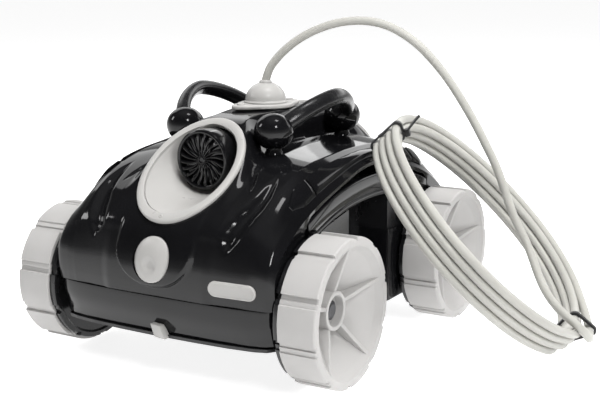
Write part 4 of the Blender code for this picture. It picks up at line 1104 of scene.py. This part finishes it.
def wheel_meshes():
    """One wheel with its curved ribs, and the disc behind it, both on the X axis."""
    wheel = make_mesh("wheel", [lugged(wheel_profile(), TREAD_GROOVE)], 28)
    section = [(0.0165, 0.1380), (0.0240, 0.1366), (0.0604, 0.1640), (0.0600, 0.1662), (0.0420, 0.1590),
               (0.0180, 0.1506), (0.0165, 0.1500)]
    parts = []
    rounding = ((-0.0022, 0.0012), (-0.0017, 0.0002), (-0.0010, 0.0), (0.0010, 0.0), (0.0017, 0.0002),
                (0.0022, 0.0012))
    for i in range(RIBS):
        a = radians(90) + 2 * pi * i / RIBS
        across = Vector((0, -sin(a), cos(a)))
        outward = Vector((0, cos(a), sin(a)))
        rows = []
        for half, lower in rounding:
            rows.append([Vector((x - (lower if k > 2 else 0.0), 0, 0)) + outward * r + across * half
                         for k, (r, x) in enumerate(section)])
        parts.append(skin(rows, caps=True))
    wheel = united("wheel_ribbed", wheel, make_mesh("ribs", parts, 40), 28)
    corners = [(0.0664, DISC_IN), (0.0672, DISC_IN + 0.0010), (0.0672, DISC_OUT), (0.0640, DISC_OUT),
               (0.0062, DISC_OUT), (0.0062, DISC_IN), (0.0500, DISC_IN), (0.0520, DISC_IN + 0.0012),
               (0.0600, DISC_IN + 0.0012), (0.0620, DISC_IN)]
    profile = [(r, x, 1 if r > 0.065 else 0) for r, x in rounded(corners, 0.0005, 2, loop=True)]
    disc = make_mesh("disc", [lugged(profile, 0.0030)], 30)
    return wheel, disc


def build_wheels():
    wheel, disc = wheel_meshes()
    for end in (-1, 1):
        for side in (-1, 1):
            name = corner_name(end, side)
            matrix = Matrix.Translation((0, end * WHEEL_Y, WHEEL_R))
            if side < 0:
                matrix = matrix @ Matrix.Rotation(pi, 4, "Z")
            for label, mesh, material, slot, stands_for in (
                    ("rim_", wheel, TYRE, "light_grey", "wheel_"),
                    ("back_disc_", disc, SATIN, "matte_black", "wheel_disc_")):
                copy = mesh.copy()
                copy.transform(matrix)
                place_piece(label + name, copy, material, [stands_for + name], body="wheel_" + name)


# ---------------------------------------------------------------- top fittings
def build_gland():
    """Oval flange with two screws, and the dome that the cable comes out of."""
    turn = Matrix.Rotation(FLANGE_TURN, 4, "Z")
    levels = ((0.0006, 0.0), (0.0, 0.0006), (0.0, FLANGE_T - 0.0014), (0.0004, FLANGE_T - 0.0005),
              (0.0014, FLANGE_T), (0.0060, FLANGE_T + 0.0002), (0.0150, FLANGE_T + 0.0002))
    rows = []
    for shrink, height in levels:
        ring = []
        for a in angles(96):
            swell = 1.0 - 0.16 * sin(2 * a) ** 2
            x = (FLANGE_HALF[0] - shrink) * swell * cos(a)
            y = (FLANGE_HALF[1] - shrink) * swell * sin(a)
            ring.append(turn @ Vector((x, y, FLANGE_Z + height)))
        rows.append(ring)
    mesh_piece("flange", [skin(rows, caps=True)], 40, PALE, "gland_flange")
    head = [(0.0042, 0.0), (0.0042, 0.0009), (0.0034, 0.0015), (0.0026, 0.0012), (0.0022, 0.0004),
            (0.0003, 0.0003)]
    for end in (-1, 1):
        spot = turn @ Vector((0, end * SCREW_Y, 0))
        place = Matrix.Translation(spot + Vector((0, 0, FLANGE_Z + FLANGE_T + 0.0002)))
        mesh_piece("flange_screw_" + end_name(end), [turned(rounded(head, 0.0004, 2), 32, place)], 50, PALE,
                   "gland_screw_" + end_name(end))
    base = FLANGE_Z + FLANGE_T + GAP
    top = base + DOME_R
    profile = [(DOME_R + 0.0014, base), (DOME_R + 0.0014, base + 0.0012), (DOME_R + 0.0002, base + 0.0022)]
    for i in range(1, 22):
        a = radians(90) * i / 24
        profile.append((DOME_R * cos(a), base + 0.0022 + (DOME_R - 0.0022) * sin(a)))
    profile += [(0.0066, top - 0.0006), (0.0062, top + 0.0010), (0.0052, top + 0.0018),
                (CORD_D / 2 + 0.0002, top + 0.0018)]
    mesh_piece("dome", [turned(profile, 72)], 40, PALE, "gland_dome")


def bow_point(side, t):
    c, s = cos(t), sin(t)
    y = BOW_HALF * copysign(abs(c) ** (2 / BOW_POWER), c)
    u = BOW_RISE * abs(s) ** (2 / BOW_POWER)
    return Vector((side * (BOW_X + u * sin(BOW_LEAN)), y, BOW_Z + u * cos(BOW_LEAN)))


def build_handle(side):
    """Bow that leans outward between two ball-shaped knobs on flared feet."""
    flat = Vector((side * cos(BOW_LEAN), 0, -sin(BOW_LEAN)))
    steps = 96
    rows = []
    for i in range(steps + 1):
        t = lerp(radians(7), pi - radians(7), i / steps)
        here = bow_point(side, t)
        ahead = (bow_point(side, t + 0.01) - bow_point(side, t - 0.01)).normalized()
        upward = ahead.cross(flat).normalized()
        ring = []
        for x, y in circle(1.0, 28):
            cx = copysign(abs(x) ** 0.85, x)
            cy = copysign(abs(y) ** 0.85, y)
            ring.append(here + flat * BOW_WIDE * cx + upward * BOW_TALL * cy)
        rows.append(ring)
    mesh_piece("handle_bow_" + side_name(side), [skin(rows, caps=True)], 50, SATIN,
               "handle_" + side_name(side))
    profile = [(0.0105, -0.0210), (0.0092, -0.0180), (0.0076, -0.0150), (0.0074, -0.0128)]
    for i in range(26):
        a = radians(lerp(-62, 88, i / 25))
        profile.append((KNOB_R * cos(a), 0.0030 + 0.0178 * sin(a)))
    for end in (-1, 1):
        place = Matrix.Translation((side * KNOB_X, end * KNOB_Y, KNOB_Z))
        label = corner_name(end, side)
        mesh_piece("knob_" + label, [turned(profile, 56, place)], 60, GLOSS,
                   "handle_knob_" + label)


# ---------------------------------------------------------------- parts inside
def rounded_block(size, centre, radius):
    """Block with rounded upright edges and softened rims."""
    sx, sy, sz = size
    corners = [(-sx / 2, -sy / 2), (sx / 2, -sy / 2), (sx / 2, sy / 2), (-sx / 2, sy / 2)]
    outline = rounded(corners, radius, 6, loop=True)
    rows = []
    for share in (0.0, 0.03, 0.08, 0.2, 0.35, 0.5, 0.65, 0.8, 0.92, 0.97, 1.0):
        pull = radius * 0.6 * (1 - min(min(share, 1 - share) / 0.08, 1.0)) ** 2
        z = centre[2] + (share - 0.5) * sz
        rows.append([(centre[0] + x * (1 - 2 * pull / sx), centre[1] + y * (1 - 2 * pull / sy), z)
                     for x, y in outline])
    return skin(rows, caps=True)


def build_floats():
    for end in (-1, 1):
        part = rounded_block(FLOAT_SIZE, (0, end * FLOAT_Y, FLOAT_Z), 0.0050)
        block = mesh_piece("float_block_" + end_name(end), [part], 40, FOAM,
                           "float_" + end_name(end))


def build_filter():
    """Cloth bag, open below, that sags a little between its corners."""
    rows = []
    for share in (0.0, 0.04, 0.12, 0.25, 0.4, 0.55, 0.7, 0.82, 0.92, 0.98, 1.0):
        z = lerp(BAG_LOW, BAG_HIGH, share)
        ring = []
        for a in angles(160):
            x = BAG_HALF[0] * copysign(abs(cos(a)) ** 0.35, cos(a))
            y = BAG_HALF[1] * copysign(abs(sin(a)) ** 0.35, sin(a))
            folds = 0.035 * sin(pi * share) * (0.6 + 0.4 * sin(9 * a))
            sag = 1 - folds - 0.10 * ease((share - 0.86) / 0.14)
            ring.append((x * sag, y * sag, z - 0.0025 * cos(2 * a) * share))
        rows.append(ring)
    points, faces = skin(rows)
    faces.append(tuple(range(len(points) - len(rows[0]), len(points))))
    bag = thicken(make_mesh("bag_sheet", [(points, faces)]), BAG_T, 35)
    place_piece("filter_sock", bag, CLOTH, ["filter_bag"])


def finish_frame():
    """Finishes for the CAD pieces that are carried over."""
    finishes = {"chassis": SATIN, "base_plate": MATTE, "pump_deck": MATTE, "motor_can": DARK,
                "pump_shaft": STEEL, "intake_flap_left": DARK, "intake_flap_right": DARK}
    for end in (-1, 1):
        finishes["propeller_" + end_name(end)] = DARK
        finishes["latch_spring_" + end_name(end)] = STEEL
        for side in (-1, 1):
            finishes["axle_" + corner_name(end, side)] = STEEL
            finishes["hub_screw_" + corner_name(end, side)] = ZINC
    for name, material in finishes.items():
        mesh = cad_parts[name].data
        mesh.materials.clear()
        mesh.materials.append(material)


# ---------------------------------------------------------------- studio and camera
def area_light(name, place, target, size, power, mirrored):
    """Soft light; one that is not mirrored lights the surfaces without showing in their gloss."""
    light = bpy.data.lights.new(name, "AREA")
    light.shape = "RECTANGLE"
    light.size, light.size_y = size
    light.energy = power
    obj = add_object(name, light)
    obj.location = place
    obj.rotation_euler = (Vector(target) - Vector(place)).to_track_quat("-Z", "Y").to_euler()
    obj.visible_glossy = mirrored


def build_floor():
    r = FLOOR_REACH
    mesh = bpy.data.meshes.new("floor")
    mesh.from_pydata([(-r, -r, 0), (r, -r, 0), (r, r, 0), (-r, r, 0)], [], [(0, 1, 2, 3)])
    pale = moulding("floor_pale", (0.66, 0.66, 0.66), 0.6, variation=0.01, bump=0.01)
    shader = pale.node_tree.nodes["Principled BSDF"]
    feed(pale.node_tree, shader, {"Emission Color": (1, 1, 1, 1), "Emission Strength": FLOOR_GLOW})
    mesh.materials.append(pale)
    add_object("floor", mesh)


def build_world():
    """Surroundings that change with height only: bright below, dim at the sides, paler overhead."""
    world = bpy.data.worlds.new("studio")
    world.use_nodes = True
    bpy.context.scene.world = world
    tree = world.node_tree
    coordinates = node(tree, "ShaderNodeTexCoord", {}).outputs["Generated"]
    split = node(tree, "ShaderNodeSeparateXYZ", {"Vector": coordinates})
    ramp = node(tree, "ShaderNodeValToRGB", {"Fac": split.outputs["Z"]})
    elements = ramp.color_ramp.elements
    while len(elements) < len(SKY):
        elements.new(0.5)
    for element, (position, value) in zip(elements, SKY):
        element.position = position
        element.color = (value, value, value, 1)
    feed(tree, tree.nodes["Background"], {"Color": ramp.outputs["Color"], "Strength": 1.0})


def build_camera():
    level = Vector((cos(CAMERA_AZIMUTH), sin(CAMERA_AZIMUTH), 0))
    upright = CAMERA_BACK.cross(level)
    right = level * cos(CAMERA_ROLL) + upright * sin(CAMERA_ROLL)
    up = upright * cos(CAMERA_ROLL) - level * sin(CAMERA_ROLL)
    data = bpy.data.cameras.new("camera")
    data.lens = CAMERA_LENS
    data.sensor_width = 36
    data.clip_start = 0.01
    camera = add_object("camera", data)
    matrix = Matrix((right, up, CAMERA_BACK)).transposed().to_4x4()
    matrix.translation = Vector(CAMERA_PLACE)
    camera.matrix_world = matrix
    bpy.context.scene.camera = camera


# ---------------------------------------------------------------- assembly
build_camera()
build_cable()
build_upper_shell()
build_lower_shell()
build_fenders()
build_trims()
build_badge()
build_release_tab()
for end in (-1, 1):
    build_nozzle(end)
    build_guard(end)
    build_latch(end)
build_wheels()
build_gland()
for side in (-1, 1):
    build_handle(side)
build_floats()
build_filter()
finish_frame()
build_floor()
build_world()
for light in LIGHTS:
    area_light(*light)
bpy.context.scene.view_settings.view_transform = "Standard"
